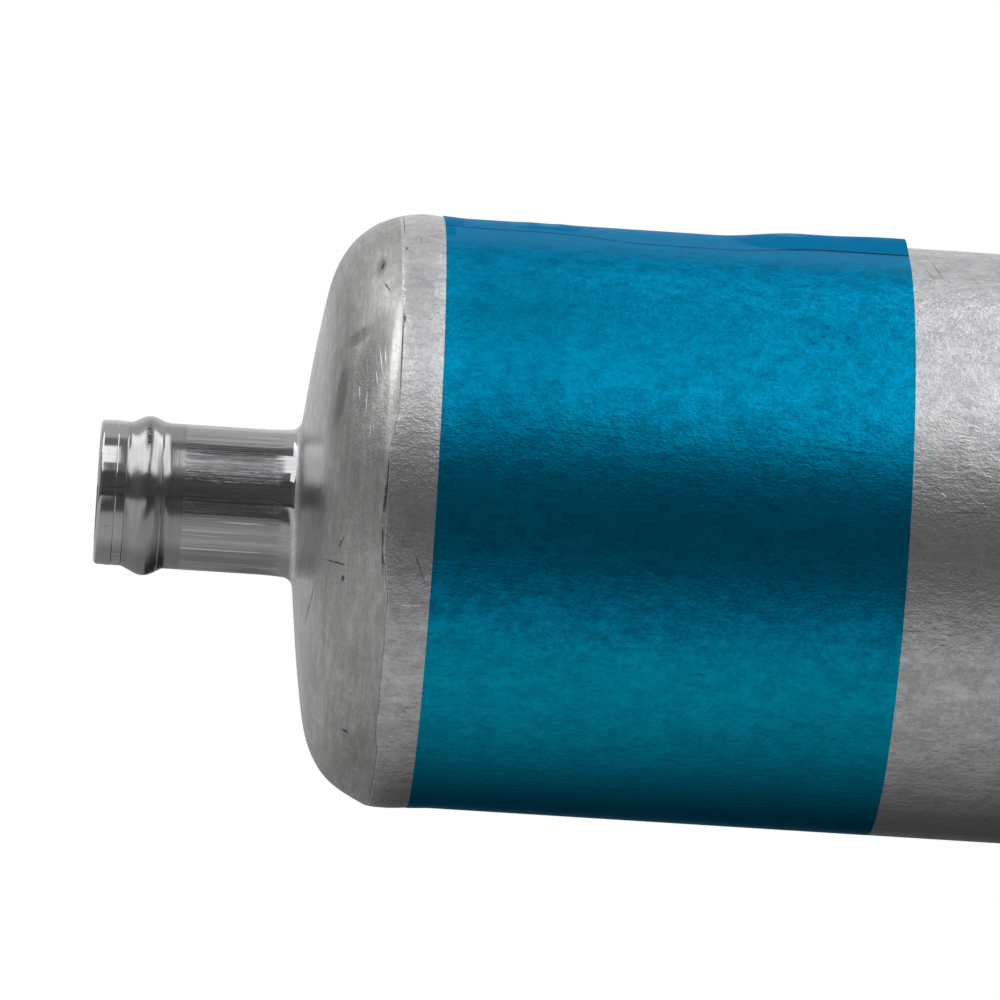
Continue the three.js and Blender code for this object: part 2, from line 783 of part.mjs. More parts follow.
const magnetX = tubeStart + magnetFront;
add("flux_tube", tube(tubeLength, tubeBore, stackRadius), zinc, tubeStart);
add("magnet_north", magnet(Math.PI / 2), ferrite, magnetX);
add("magnet_south", magnet(-Math.PI / 2), ferrite, magnetX);
add("magnet_clip_right", magnetClip(0), steel, magnetX + clipInset);
add("magnet_clip_left", magnetClip(Math.PI), steel, magnetX + clipInset);

// Armature

const hubEnd = portEnd + portHub;
const washerX = hubEnd + seam;
const waistStart = washerX + washerThickness + seam;
const waistEnd = coreEnd + shaftWaistLead;
const rearWasherX = bridgeStart - seam - washerThickness;
const commutatorEnd = rearWasherX - seam;
const commutatorStart = commutatorEnd - commutatorLength;
const shaftEnd = bridgeEnd + overrun;

function shaft() {
  const body = turned(
    [
      [portStart, 0],
      [portStart, shaftRadius],
      [waistStart, shaftRadius],
      [waistStart, shaftWaist],
      [waistEnd, shaftWaist],
      [waistEnd, shaftRadius],
      [shaftEnd, shaftRadius],
      [shaftEnd, 0],
    ],
    smallSides,
  );
  const stubStart = intakeEnd - pilotDepth + fit;
  const stub = bored(doubleFlat(stubRadius, stubFlat), stubStart, portStart + overrun);
  return join(body, stub);
}

function corePoints() {
  const points = [];
  for (let slot = 0; slot < slotCount; slot++) {
    const middle = (2 * Math.PI * slot) / slotCount;
    const next = middle + (2 * Math.PI) / slotCount;
    const mouth = Math.asin(slotWidth / 2 / coreRadius);
    const foot = Math.asin(slotWidth / 2 / slotFloor);
    points.push(polar(slotFloor, middle - foot), polar(slotFloor, middle + foot));
    points.push(...arcPoints(0, 0, coreRadius, middle + mouth, next - mouth, 1));
  }
  return points;
}

function winding() {
  const outer = coreRadius - fit;
  const head = (x) =>
    turnedRing([
      [x, headInner],
      [x, outer - headRound],
      [x + headRound, outer],
      [x + headLength - headRound, outer],
      [x + headLength, outer - headRound],
      [x + headLength, headInner],
    ], 2 * slotCount);
  const floor = slotFloor + fit;
  const length = coreLength + 2 * (fit + headRound);
  const bars = [];
  for (let slot = 0; slot < slotCount; slot++) {
    const top = outer - headRound;
    const section = rectangle(top - floor, slotWidth - 2 * fit, (top + floor) / 2);
    const bar = bored(section, -fit - headRound, length - fit - headRound);
    bars.push(bar.rotateX((2 * Math.PI * slot) / slotCount));
  }
  return join(head(-fit - headLength), head(coreLength + fit), ...bars);
}

function commutator() {
  const groove = Math.asin(barGroove / 2 / commutatorRadius);
  const floor = commutatorRadius - barGrooveDepth;
  const points = [];
  for (let bar = 0; bar < slotCount; bar++) {
    const middle = (2 * Math.PI * bar) / slotCount;
    const next = middle + (2 * Math.PI) / slotCount;
    points.push(polar(floor, middle - groove), polar(floor, middle + groove));
    points.push(...arcPoints(0, 0, commutatorRadius, middle + groove, next - groove, 1));
  }
  const riser = plate(circle(riserRadius, smallSides), riserLength);
  const barrel = plate(points, commutatorLength);
  const bore = bored(circle(shaftRadius + fit, smallSides), -overrun, commutatorLength + overrun);
  return cut(join(barrel, riser), bore);
}

const core = plate(corePoints(), coreLength, [circle(shaftWaist + fit, smallSides)]);
const thrustWasher = () => tube(washerThickness, shaftRadius + fit, thrustWasherRadius, smallSides);
const bearing = () => tube(bearingLength, shaftRadius + fit, bearingRadius, smallSides);
add("armature_shaft", shaft(), steel, 0, 0, 0, armature);
add("armature_core", core, sintered, coreStart, 0, 0, armature);
add("armature_winding", winding(), copper, coreStart, 0, 0, armature);
add("commutator", commutator(), copper, commutatorStart, 0, 0, armature);
add("thrust_washer_front", thrustWasher(), palePlastic, washerX, 0, 0, armature);
add("thrust_washer_rear", thrustWasher(), palePlastic, rearWasherX, 0, 0, armature);
add("front_bearing", bearing(), bronze, hubEnd - bearingLength);
add("rear_bearing", bearing(), bronze, bridgeStart + bearingLip + seam);

// Brush gear: each box holds a brush that its spring pushes down on the commutator

function brushHolder() {
  const disc = tube(holderThickness, holderHole, stackRadius);
  const boxFrom = boxX - boxDepth / 2 - holderStart;
  const boxWidth = brushWidth + 2 * (fit + boxWall);
  const box = (side) => {
    const middle = (side * (boxStart + boxEnd)) / 2;
    return bored(rectangle(boxWidth, boxEnd - boxStart, 0, middle), boxFrom, boxFrom + boxDepth);
  };
  const slot = (side) => {
    const middle = (side * (boxStart - overrun + boxEnd - boxCap)) / 2;
    const outline = rectangle(brushWidth + 2 * fit, boxEnd - boxCap - boxStart + overrun, 0, middle);
    return bored(outline, boxFrom + boxWall, boxFrom + boxDepth - boxWall);
  };
  const barStart = bridgeStart - holderStart;
  const barEnd = bridgeEnd - holderStart;
  const bar = bored(rectangle(2 * bridgeHalfWidth, 2 * bridgeHalfHeight), barStart, barEnd);
  const legY = bridgeHalfWidth - bridgeLeg / 2;
  const leg = (side) => {
    const outline = rectangle(bridgeLeg, 2 * bridgeHalfHeight, side * legY);
    return bored(outline, holderThickness - overrun, barStart + overrun);
  };
  const hub = bored(circle(bearingHubRadius, smallSides), barStart, barEnd + overrun);
  return cut(
    join(disc, box(1), box(-1), bar, leg(1), leg(-1), hub),
    slot(1),
    slot(-1),
    bored(circle(shaftRadius + 2 * fit, smallSides), barStart - overrun, barStart + bearingLip + overrun),
    bored(circle(bearingRadius + fit, smallSides), barStart + bearingLip, barEnd + 2 * overrun),
  );
}

function brushGear(name, side) {
  const group = new THREE.Group();
  group.position.x = boxX;
  group.rotation.x = side > 0 ? 0 : Math.PI;
  pump.add(group);
  const brush = plate(rectangle(brushWidth, brushLength), brushDepth);
  add(`brush_${name}`, brush, carbon, -brushDepth / 2, 0, brushSeat + brushLength / 2, group);
  const spring = coilSpring(brushCoil, brushWire, brushSpringLength, brushTurns);
  const coil = add(`brush_spring_${name}`, spring, steel, 0, 0, brushSeat + brushLength + seam, group);
  coil.rotation.y = -Math.PI / 2;
}

// A choke: a ferrite rod with its turns as ridges
function choke() {
  const pitch = chokeLength / (chokeRidges + 1);
  const outline = [[0, 0], [0, chokeRadius]];
  for (let i = 1; i <= chokeRidges; i++) {
    const x = pitch * i;
    outline.push([x, chokeRadius], [x + pitch / 2, chokeRadius - chokeRidgeDepth]);
  }
  outline.push([chokeLength, chokeRadius], [chokeLength, 0]);
  return turned(outline, smallSides / 2);
}

add("brush_holder", brushHolder(), palePlastic, holderStart);
brushGear("positive", 1);
brushGear("negative", -1);
add("choke_positive", choke(), ferrite, bridgeEnd + seam, terminalOffset);
add("choke_negative", choke(), ferrite, bridgeEnd + seam, -terminalOffset);

// End cover

function endCover() {
  const skirtStart = holderStart + holderThickness + seam;
  const bossRadius = canRadius - rimLip - fit;
  const groove = coverTop - coverGroovePlace - ringGrooveWidth;
  const body = turned([
    [coverHubEnd, 0],
    [coverHubEnd, coverHubRadius],
    [coverInside, coverHubRadius],
    [coverInside, skirtBore],
    [skirtStart, skirtBore],
    ...groovedEdge(skirtStart, coverTop, groove),
    [coverTop, bossRadius],
    [coverFace, bossRadius],
    [coverFace, 0],
  ]);
  const past = coverFace + overrun;
  const studHoles = Object.values(terminals).map(({ side, thread }) =>
    bored(circle(thread + fit, smallSides, side * terminalOffset), coverInside - overrun, past),
  );
  return cut(body, bored(circle(threadRadius + fit, smallSides), coverHubEnd - overrun, past), ...studHoles);
}

const coverGroove = coverTop - coverGroovePlace - ringGrooveWidth / 2;
add("end_cover", endCover(), blackPlastic);
add("end_cover_seal", oRing(), rubber, coverGroove);

// Terminals

function terminal(name, { side, thread, head, flats, washer }) {
  const group = new THREE.Group();
  group.position.y = side * terminalOffset;
  pump.add(group);
  const bore = circle(thread + fit, smallSides);
  const headStart = coverInside - seam - studHeadLength;
  const end = coverFace + studReach;
  const stud = [
    [headStart, 0],
    [headStart, head],
    [headStart + studHeadLength, head],
    [headStart + studHeadLength, thread],
    [end - studChamfer, thread],
    [end, thread - studChamfer],
    [end, 0],
  ];
  const baseX = coverFace + seam;
  const washerStart = baseX + baseNutLength + seam;
  const nutX = washerStart + terminalWasher + lugSpace;
  add(`terminal_stud_${name}`, turned(stud, smallSides), zinc, 0, 0, 0, group);
  add(`terminal_base_nut_${name}`, plate(hexagon(flats), baseNutLength, [bore]), zinc, baseX, 0, 0, group);
  const ring = tube(terminalWasher, thread + fit, washer, smallSides);
  add(`terminal_washer_${name}`, ring, zinc, washerStart, 0, 0, group);
  add(`terminal_nut_${name}`, plate(hexagon(flats), terminalNutLength, [bore]), zinc, nutX, 0, 0, group);
}

for (const [name, sizes] of Object.entries(terminals)) terminal(name, sizes);

// Outlet fitting and its non-return valve

function outletFitting() {
  const reliefEnd = hexEnd + threadReliefLength;
  const neck = threadRadius - threadRelief;
  const core = turned(
    [
      [fittingStart, 0],
      [fittingStart, threadRadius],
      [hexEnd - overrun, threadRadius],
      [hexEnd, neck],
      [reliefEnd, neck],
      [reliefEnd + threadRelief, threadRadius],
      [outletEnd - threadChamfer, threadRadius],
      [outletEnd, threadRadius - threadChamfer],
      [outletEnd, 0],
    ],
    smallSides,
  );
  const hex = bored(hexagon(hexFlats), hexStart, hexEnd);
  return cut(
    join(core, hex),
    bored(circle(seatBore, smallSides), fittingStart - overrun, seatX + overrun),
    bored(circle(outletBore, smallSides), seatX, outletEnd + overrun),
  );
}

function checkValve() {
  const stopX = plungerHeadLength + fit / 2 + seam + checkSpringLength + seam;
  const stemEnd = stopX - fit;
  const plunger = turned(
    [
      [-plungerNoseLength, 0],
      [-plungerNoseLength / 2, plungerNose],
      [0, plungerNose],
      [0, plungerHead],
      [plungerHeadLength, plungerHead],
      [plungerHeadLength, plungerStem],
      [stemEnd, plungerStem],
      [stemEnd, 0],
    ],
    smallSides,
  );
  const spring = coilSpring(checkCoil, checkWire, checkSpringLength, checkTurns);
  const stop = tube(stopLength, plungerStem + fit, outletBore - fit / 2, smallSides);
  add("check_plunger", plunger, palePlastic, fit / 2, 0, 0, checkGroup);
  add("check_spring", spring, steel, fit / 2 + plungerHeadLength + seam, 0, 0, checkGroup);
  add("check_stop", stop, steel, stopX, 0, 0, checkGroup);
}

add("outlet_fitting", outletFitting(), zinc);
const outletWasher = tube(outletWasherThickness, threadRadius + fit, outletWasherRadius, smallSides);
add("outlet_washer", outletWasher, copper, hexEnd + seam);
checkValve();

export default pump;
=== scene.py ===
# %% [markdown]
# # An in-line electric fuel pump
# The pump is a plain aluminium can with a hose spigot at its inlet end, a film of tinted plastic round its
# middle, and a moulded cover with two terminals and a threaded outlet at the other end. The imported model
# gives every piece its place, in metres, with X along the pump's axis. This lesson dresses it: the pieces
# that show are modelled again in full detail, and the hidden ones keep their solids and get real finishes.

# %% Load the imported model
import math

import bpy
from mathutils import Matrix, Vector


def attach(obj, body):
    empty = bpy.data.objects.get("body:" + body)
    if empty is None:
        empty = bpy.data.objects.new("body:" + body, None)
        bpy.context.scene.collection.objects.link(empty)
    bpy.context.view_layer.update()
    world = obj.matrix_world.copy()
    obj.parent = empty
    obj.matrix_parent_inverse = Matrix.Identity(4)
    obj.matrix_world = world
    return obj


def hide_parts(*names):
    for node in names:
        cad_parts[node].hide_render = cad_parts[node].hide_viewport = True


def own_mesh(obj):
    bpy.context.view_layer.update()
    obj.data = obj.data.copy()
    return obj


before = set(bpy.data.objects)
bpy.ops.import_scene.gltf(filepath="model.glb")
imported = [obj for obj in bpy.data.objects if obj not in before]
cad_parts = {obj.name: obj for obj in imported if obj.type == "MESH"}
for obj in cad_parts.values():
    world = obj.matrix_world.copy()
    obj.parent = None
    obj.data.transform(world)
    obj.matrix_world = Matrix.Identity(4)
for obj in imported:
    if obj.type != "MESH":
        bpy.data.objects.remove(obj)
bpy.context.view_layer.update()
MM = 0.001

# %% [markdown]
# ## Working the way a hand does
# Blender's operators act on whatever is selected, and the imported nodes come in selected. So each step first
# clears the selection, and then picks faces or points by where they lie. Lengths are typed in millimetres.


# %% Selecting
def only_this(piece=None):
    """Leaves edit mode and selects this piece alone."""
    if bpy.context.mode != "OBJECT":
        bpy.ops.object.mode_set(mode="OBJECT")
    bpy.ops.object.select_all(action="DESELECT")
    if piece:
        piece.select_set(True)
        bpy.context.view_layer.objects.active = piece


def edit(piece, kind="VERT", everything=False):
    """Enters edit mode on one piece, with all of it selected or none."""
    only_this(piece)
    bpy.ops.object.mode_set(mode="EDIT")
    bpy.ops.mesh.select_mode(type=kind)
    bpy.ops.mesh.select_all(action="SELECT" if everything else "DESELECT")


def pick_points(piece, wanted):
    """Selects the points whose place, in millimetres, passes the test."""
    edit(piece)
    bpy.ops.object.mode_set(mode="OBJECT")
    for point in piece.data.vertices:
        point.select = wanted(point.co / MM)
    bpy.ops.object.mode_set(mode="EDIT")


def pick_faces(piece, wanted):
    """Selects the faces whose middle, in millimetres, and normal pass the test."""
    edit(piece, "FACE")
    bpy.ops.object.mode_set(mode="OBJECT")
    for face in piece.data.polygons:
        face.select = wanted(face.center / MM, face.normal)
    bpy.ops.object.mode_set(mode="EDIT")


def tidy(piece, angle=30):
    """Merges doubles, turns the faces outwards and smooths all but the sharp edges."""
    edit(piece, everything=True)
    bpy.ops.mesh.remove_doubles(threshold=0.002 * MM)
    bpy.ops.mesh.select_all(action="SELECT")
    bpy.ops.mesh.normals_make_consistent(inside=False)
    only_this(piece)
    bpy.ops.object.shade_smooth_by_angle(angle=math.radians(angle))
    return piece


def apply_modifier(piece, kind, **settings):
    """Adds a modifier with its settings and applies it."""
    only_this(piece)
    made = piece.modifiers.new(kind.lower(), kind)
    for name, value in settings.items():
        setattr(made, name, value)
    bpy.ops.object.modifier_apply(modifier=made.name)


# %% [markdown]
# ## Turned pieces
# Most of this pump is round, so most of it is made as on a lathe. One point is placed, extruded from corner
# to corner of the section, and the finished line is spun round the axis. Curves in the section are arcs of
# short steps.


# %% Arcs and spinning
def arc(x, radius, bend, start, end, steps):
    """Points on an arc of the section, centred at [x, radius], from one angle to another in degrees."""
    turns = [math.radians(start + (end - start) * i / steps) for i in range(steps + 1)]
    return [(x + bend * math.cos(a), radius + bend * math.sin(a)) for a in turns]


def first_point(name, x, y, z):
    """A mesh of one point: a plane merged to its middle."""
    only_this()
    bpy.ops.mesh.primitive_plane_add(size=MM, location=(x * MM, y * MM, z * MM))
    piece = bpy.context.object
    piece.name = piece.data.name = name
    bpy.ops.object.transform_apply(location=True, rotation=True, scale=True)
    edit(piece, everything=True)
    bpy.ops.mesh.merge(type="CENTER")
    return piece


def spun(name, section, steps=64, y=0, z=0, angle=30):
    """A turned piece from a section of [x, radius] points, round an axis along X."""
    piece = first_point(name, section[0][0], y, z + section[0][1])
    for (x0, r0), (x1, r1) in zip(section, section[1:]):
        move = {"value": ((x1 - x0) * MM, 0, (r1 - r0) * MM)}
        bpy.ops.mesh.extrude_region_move(TRANSFORM_OT_translate=move)
    bpy.ops.mesh.select_all(action="SELECT")
    bpy.ops.mesh.remove_doubles(threshold=0.0005 * MM)
    bpy.ops.mesh.spin(steps=steps, angle=math.tau, center=(0, y * MM, z * MM), axis=(1, 0, 0))
    return tidy(piece, angle)


# %% [markdown]
# Some pieces are then cut as on a milling machine: a second body is moved into the first and taken away from
# it, or only what both share is kept. The second body goes once it has done its work.


# %% Cutting
def cut(piece, tool, how="DIFFERENCE"):
    """Takes the tool out of the piece, or keeps what both share, or joins them."""
    apply_modifier(piece, "BOOLEAN", object=tool, operation=how, solver="EXACT")
    bpy.data.objects.remove(tool, do_unlink=True)
    return piece


# %% [markdown]
# ## The can and its spigot
# The real can is one piece of aluminium. A slug is squeezed into a cup with a thick domed end and a hollow
# stem, the stem is drawn and turned to the hose size, a bead is rolled up on it to stop the hose sliding
# off, and the open rim is rolled over the cover. So it is one spun section here too. The dome's face is a
# flat cone of 7 degrees, and its corner turns ever more steeply into the wall. It doesn't run smoothly into
# the wall, but meets it in a crease with a fine groove behind it, where the press tool ended.

# %% The can's section
spigot_end, spigot_bore, barrel, can_radius = -97.3, 5.5, 7.4, 30.0
bead_start, bead_width, bead_height, bead_steps, score = -94.45, 4.3, 0.73, 43, 35


def bead_point(number):
    """A point of the rolled bead, in steps of 0.1 mm, with a score line near its end."""
    share = number / bead_steps
    height = bead_height * math.sin(math.pi * share) ** 1.6 - (0.05 if number == score else 0)
    return bead_start + bead_width * share, 7.35 + 0.04 * share + height


lip = [(spigot_end + 0.45, spigot_bore), (spigot_end, spigot_bore + 0.45)]
lip += arc(spigot_end + 0.42, 6.92, 0.42, 180, 90, 8) + [(-95.62, 7.385), (-95.55, 7.33), (-95.48, 7.355)]
lip += [(-95.2, 7.36), (-94.62, 7.35), (-94.53, 7.3)]
bead_line = [bead_point(number) for number in range(bead_steps + 1)]
stem = [(-89.8, 7.395), (-88.75, 7.395), (-88.65, 7.4), (-86, barrel), (-84, barrel), (-82, barrel), (-81, barrel)]
stem += [(-80.3, 7.406), (-79.7, 7.42), (-79.2, 7.441), (-78.8, 7.463), (-78.4, 7.489), (-78.1, 7.512)]
root = arc(-78.105, 8.69, 1.18, -78, -8, 14)
dome = [(-76.691, 10.511), (-76.451, 12.496), (-76.21, 14.482), (-75.939, 16.463), (-75.634, 18.44)]
dome += [(-75.317, 20.415), (-75.045, 21.89), (-74.93, 22.428), (-74.801, 22.962), (-74.653, 23.492)]
corner = [(-74.486, 24.016), (-74.293, 24.531), (-74.074, 25.035), (-73.829, 25.527), (-73.558, 26.006)]
corner += [(-73.263, 26.47), (-72.939, 26.914), (-72.58, 27.331), (-72.189, 27.718), (-71.775, 28.08)]
corner += [(-71.344, 28.421), (-70.897, 28.741), (-70.438, 29.045), (-69.97, 29.334), (-69.494, 29.608)]
corner += [(-69.01, 29.869), (-68.7, 30.025), (-68.42, 30.14)]
shoulder = [(-68.34, 30.075), (-68.24, 30.15), (-67.9, 30.185), (-67.5, 30.215), (-67, 30.235), (-66, 30.24)]
shoulder += [(-65, 30.19), (-64.2, 30.12), (-63.5, 30.06), (-62.5, 30.02), (-61.5, 30.0)]
wall = [(-60 + 6.3 * i, can_radius) for i in range(21)]
rim = arc(66.5, 27.8, 2.2, 90, 0, 12) + arc(68.4, 25.3, 0.3, 0, -90, 4) + [(67.1, 25.0)]
inside = [(67.1, 28.4), (20, 28.4), (-20, 28.4), (-65, 28.4), (-65, 26.9)]
inside += arc(-66.5, 21.7, 5.2, 90, 172, 10) + [(-73.39, 10), (-73.39, spigot_bore)]
can_section = lip + bead_line + stem + root + dome + corner + shoulder + wall + rim + inside
can_section.append(can_section[0])
can = spun("can_shell", can_section, steps=240, angle=9)
print("can:", len(can.data.vertices), "points")

# %% [markdown]
# Five zones of the can are finished differently, and their borders are rings of the section. So they get
# their slots now, while the rings still stand square, and the slots get their materials later on.

# %% Zones of the can
# 0 is the wall, 1 the dome, 2 the barrel, 3 the bead, and 4 the lip with the bore
dome_end, barrel_end, bead_end, lip_end = -68.45, -77.5, -88.65, -94.6
for number in range(5):
    can.data.materials.append(None)
zones = {
    1: lambda p, n: p.x < dome_end and math.hypot(p.y, p.z) > 8.8,
    2: lambda p, n: bead_end < p.x < barrel_end and 7 < math.hypot(p.y, p.z) < 8.8,
    3: lambda p, n: lip_end < p.x < bead_end,
    4: lambda p, n: p.x < lip_end or (p.x < -70 and math.hypot(p.y, p.z) < 7),
}
for number, zone in zones.items():
    pick_faces(can, zone)
    can.active_material_index = number
    bpy.ops.object.material_slot_assign()
    only_this(can)
print("faces in each zone:", [sum(f.material_index == i for f in can.data.polygons) for i in range(5)])

# %% [markdown]
# The press and the bead roller left the can a little uneven. The crease swings 0.8 mm toward the inlet at
# the front and the other way at the bottom, it is soft along the top, and the bead is fuller below. Rings
# are dragged with proportional editing, so that the neighbouring rings follow by less and less.


# %% Uneven crease and bead
def drag(piece, wanted, move, reach):
    """Moves some points, in millimetres, and lets the surface around them follow within a reach."""
    pick_points(piece, wanted)
    bpy.ops.transform.translate(
        value=[length * MM for length in move], use_proportional_edit=True, use_proportional_connected=True,
        proportional_edit_falloff="SMOOTH", proportional_size=reach * MM,
    )


def ring(p):
    """The crease's own ring of points and the groove behind it."""
    return -69.6 < p.x < -68.2 and math.hypot(p.y, p.z) > 30.05


for foot, head in ((-6.5, 8.0), (-4.5, 6.0)):
    drag(can, lambda p: ring(p) and p.y < 0 and foot < p.z < head, (-0.4, 0, 0), 2.4)
drag(can, lambda p: ring(p) and p.z < -24, (0.35, 0, 0), 4.0)
drag(can, lambda p: -94.0 < p.x < -91.0 and math.hypot(p.y, p.z) > 7.45, (0, 0, -0.11), 0.9)
for height, rounds in ((27, 20), (24, 16), (21, 8)):
    pick_points(can, lambda p: -70.3 < p.x < -66.8 and math.hypot(p.y, p.z) > 29 and p.z > height)
    bpy.ops.mesh.vertices_smooth(factor=0.5, repeat=rounds)
tidy(can, 9)
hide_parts("pump_can", "inlet_spigot")
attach(can, "housing")
for word, test in (("front", lambda p: p.y < -29.9), ("top", lambda p: p.z > 29.9), ("foot", lambda p: p.z < -29.9)):
    found = [p.co.x / MM for p in can.data.vertices if test(p.co / MM)]
    print("full width begins at the", word, round(min(found), 2))

# %% [markdown]
# ## The film
# A strip of blue film 47 mm wide and 0.05 mm thick is laid once round the can, and its free end laps over
# its start along the top, a little toward the viewer. Its section is drawn as one long line of points that
# goes once round and on under the lap, then pulled out to the strip's width and given its thickness. The
# free end hasn't stuck down all along: it stands proud in a long blister that opens at the outlet side.

# %% Laying the film
film_from, film_wide, film_thick = -64.0, 47.05, 0.05
# where the section begins and ends, in degrees round the axis, and how many steps it takes each way
free_end, start_end, steps_round, steps_along = 104.8, -281.0, 320, 47


def film_point(turn):
    """A point of the film's section at an angle round the axis. The upper layer climbs from 62 to 74 degrees."""
    over = max(0.0, min(1.0, (turn - 62) / 12))
    radius = 30.01 + 0.065 * over * over * (3 - 2 * over) - 0.013 * max(0.0, turn - 103.8)
    return radius * math.cos(math.radians(turn)), radius * math.sin(math.radians(turn))


turns = [free_end - (free_end - start_end) * i / steps_round for i in range(steps_round + 1)]
film = first_point("blue_film", film_from, *film_point(turns[0]))
for here, there in zip(turns, turns[1:]):
    (y0, z0), (y1, z1) = film_point(here), film_point(there)
    bpy.ops.mesh.extrude_region_move(TRANSFORM_OT_translate={"value": (0, (y1 - y0) * MM, (z1 - z0) * MM)})
bpy.ops.mesh.select_all(action="SELECT")
step = film_wide / steps_along
for _ in range(steps_along):
    bpy.ops.mesh.extrude_region_move(TRANSFORM_OT_translate={"value": (step * MM, 0, 0)})
print("film:", len(film.data.vertices), "points")

# %% [markdown]
# The blister is lifted with proportional editing that follows the surface, so that the layer below stays
# down. The free end wanders a little, so part of it is turned round the axis. The strip's ends are cut a
# fraction of a degree askew, and the inlet end is stretched over the can's swollen shoulder.


# %% Lifting the free end
def upper(p, x0, x1, low, high):
    """Whether a point lies on the film's upper layer, between two places along it and two angles round it."""
    turn = math.degrees(math.atan2(p.z, p.y))
    return x0 < p.x < x1 and low < turn < high and math.hypot(p.y, p.z) > 30.05


# the long blister, its mouth at the strip's edge, and two small bubbles
for window, lift, follow in (
    ((-28, -16, 86, 92), 0.66, 8.0), ((-19, -16, 86, 93), 0.17, 6.0),
    ((-55.6, -54.4, 95, 100), 0.1, 2.4), ((-52.8, -51.8, 95, 100), 0.1, 2.2),
):
    drag(film, lambda p: upper(p, *window), (0, 0, lift), follow)
pick_points(film, lambda p: upper(p, -43, -35, 101, 106))
bpy.ops.transform.rotate(
    value=math.radians(-4), orient_axis="X", center_override=(0, 0, 0),
    use_proportional_edit=True, use_proportional_connected=True,
    proportional_edit_falloff="SMOOTH", proportional_size=11 * MM,
)
for end, wider in ((film_from, 1.0043), (film_from + film_wide, 1.0)):
    pick_points(film, lambda p: abs(p.x - end) < 0.1)
    near = {"use_proportional_edit": True, "use_proportional_connected": True, "proportional_size": 2.4 * MM}
    middle = (end * MM, 0, 0)
    bpy.ops.transform.rotate(value=math.radians(0.4), orient_axis="Z", center_override=middle, **near)
    bpy.ops.transform.resize(value=(1, wider, wider), center_override=middle, **near)
free = [math.degrees(math.atan2(p.co.z, p.co.y)) for p in film.data.vertices]
print("free end reaches", round(max(turn for turn in free if turn < 130), 1), "degrees")
only_this(film)
for slot in range(2):
    film.data.materials.append(None)
apply_modifier(film, "SOLIDIFY", thickness=film_thick * MM, offset=1.0, material_offset_rim=1)
tidy(film, 40)
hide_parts("blue_wrap")
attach(film, "housing")
print("film stands up to z =", round(max(p.co.z for p in film.data.vertices) / MM, 2), "mm")

# %% [markdown]
# ## The outlet end
# The photograph stops short of this end, so it follows what such pumps have. A black moulded cover closes the
# can. It carries two threaded studs for the leads, of different sizes so that they can't be swapped, and a
# zinc plated fitting with a hexagon and an M12 thread for the fuel line.

# %% End cover
stud_place = 15
cover_section = [(28.2, 25.5), (28.2, 28.1), (61.4, 28.1), (61.4, 25.7), (64.4, 25.7), (64.4, 28.1), (67.0, 28.1)]
cover_section += [(67.0, 24.7)] + arc(68.9, 24.1, 0.6, 90, 0, 6) + [(69.5, 23.2), (69.25, 22.95), (69.25, 21.85)]
cover_section += [(69.5, 21.6), (69.5, 6.6), (69.1, 6.1), (53.0, 6.1), (53.0, 9.7), (53.3, 10), (59, 10), (59, 25.5)]
cover = spun("moulded_cover", cover_section + cover_section[:1], steps=128)
for side, bore in ((1, 2.6), (-1, 2.1)):
    hole = [(52, 0), (52, bore), (69.2, bore), (69.6, bore + 0.4), (70.5, bore + 0.4), (70.5, 0)]
    cut(cover, spun("stud_hole", hole, 32, y=stud_place * side))
# four shallow round marks, left by the pins that push the cover out of its mould
for side in (1, -1):
    for tall in (17, -17):
        pin = [(69.38, 0), (69.38, 1.75), (70.5, 1.75), (70.5, 0)]
        cut(cover, spun("pin_mark", pin, 32, y=8.2 * side, z=tall))
tidy(cover)
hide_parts("end_cover")
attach(cover, "housing")
print("cover:", len(cover.data.polygons), "faces")

# %% [markdown]
# ## Threads and hexagons
# A thread is cut as a die cuts it: the tool is a groove's section carried along a helix. Its section is
# drawn round the helix by a Screw modifier and its two ends are filled. A hexagon is a six-sided bar whose
# corners are turned off at 30 degrees, so it is a prism cut to a turned blank.


# %% Thread and hexagon tools
def helix(name, section, x0, turns, pitch, y=0, steps=48):
    """A closed section of [x, radius] points carried along a helix round an axis along X."""
    piece = first_point(name, x0 + section[0][0], y, section[0][1])
    loop = section + section[:1]
    for (xa, ra), (xb, rb) in zip(loop, loop[1:]):
        bpy.ops.mesh.extrude_region_move(TRANSFORM_OT_translate={"value": ((xb - xa) * MM, 0, (rb - ra) * MM)})
    bpy.ops.mesh.select_all(action="SELECT")
    bpy.ops.mesh.remove_doubles(threshold=0.0005 * MM)
    only_this(piece)
    bpy.context.scene.cursor.location = (0, y * MM, 0)
    bpy.ops.object.origin_set(type="ORIGIN_CURSOR")
    apply_modifier(
        piece, "SCREW", axis="X", angle=math.tau, steps=steps, render_steps=steps, iterations=turns,
        screw_offset=pitch * MM, use_merge_vertices=False,
    )
    only_this(piece)
    bpy.ops.object.transform_apply(location=True)
    edit(piece)
    bpy.ops.mesh.select_non_manifold()
    bpy.ops.mesh.fill_holes(sides=len(section))
    bpy.context.scene.cursor.location = (0, 0, 0)
    return tidy(piece)


def thread(piece, radius, pitch, x0, turns, y=0):
    """Cuts a metric thread into a piece from x0 on."""
    wide, root = 0.475 * pitch, 0.11 * pitch
    section = [(-wide, radius + 0.066 * pitch), (-root, radius - 0.58 * pitch)]
    section += [(root, radius - 0.58 * pitch), (wide, radius + 0.066 * pitch)]
    return cut(piece, helix("thread_tool", section, x0, turns, pitch, y))


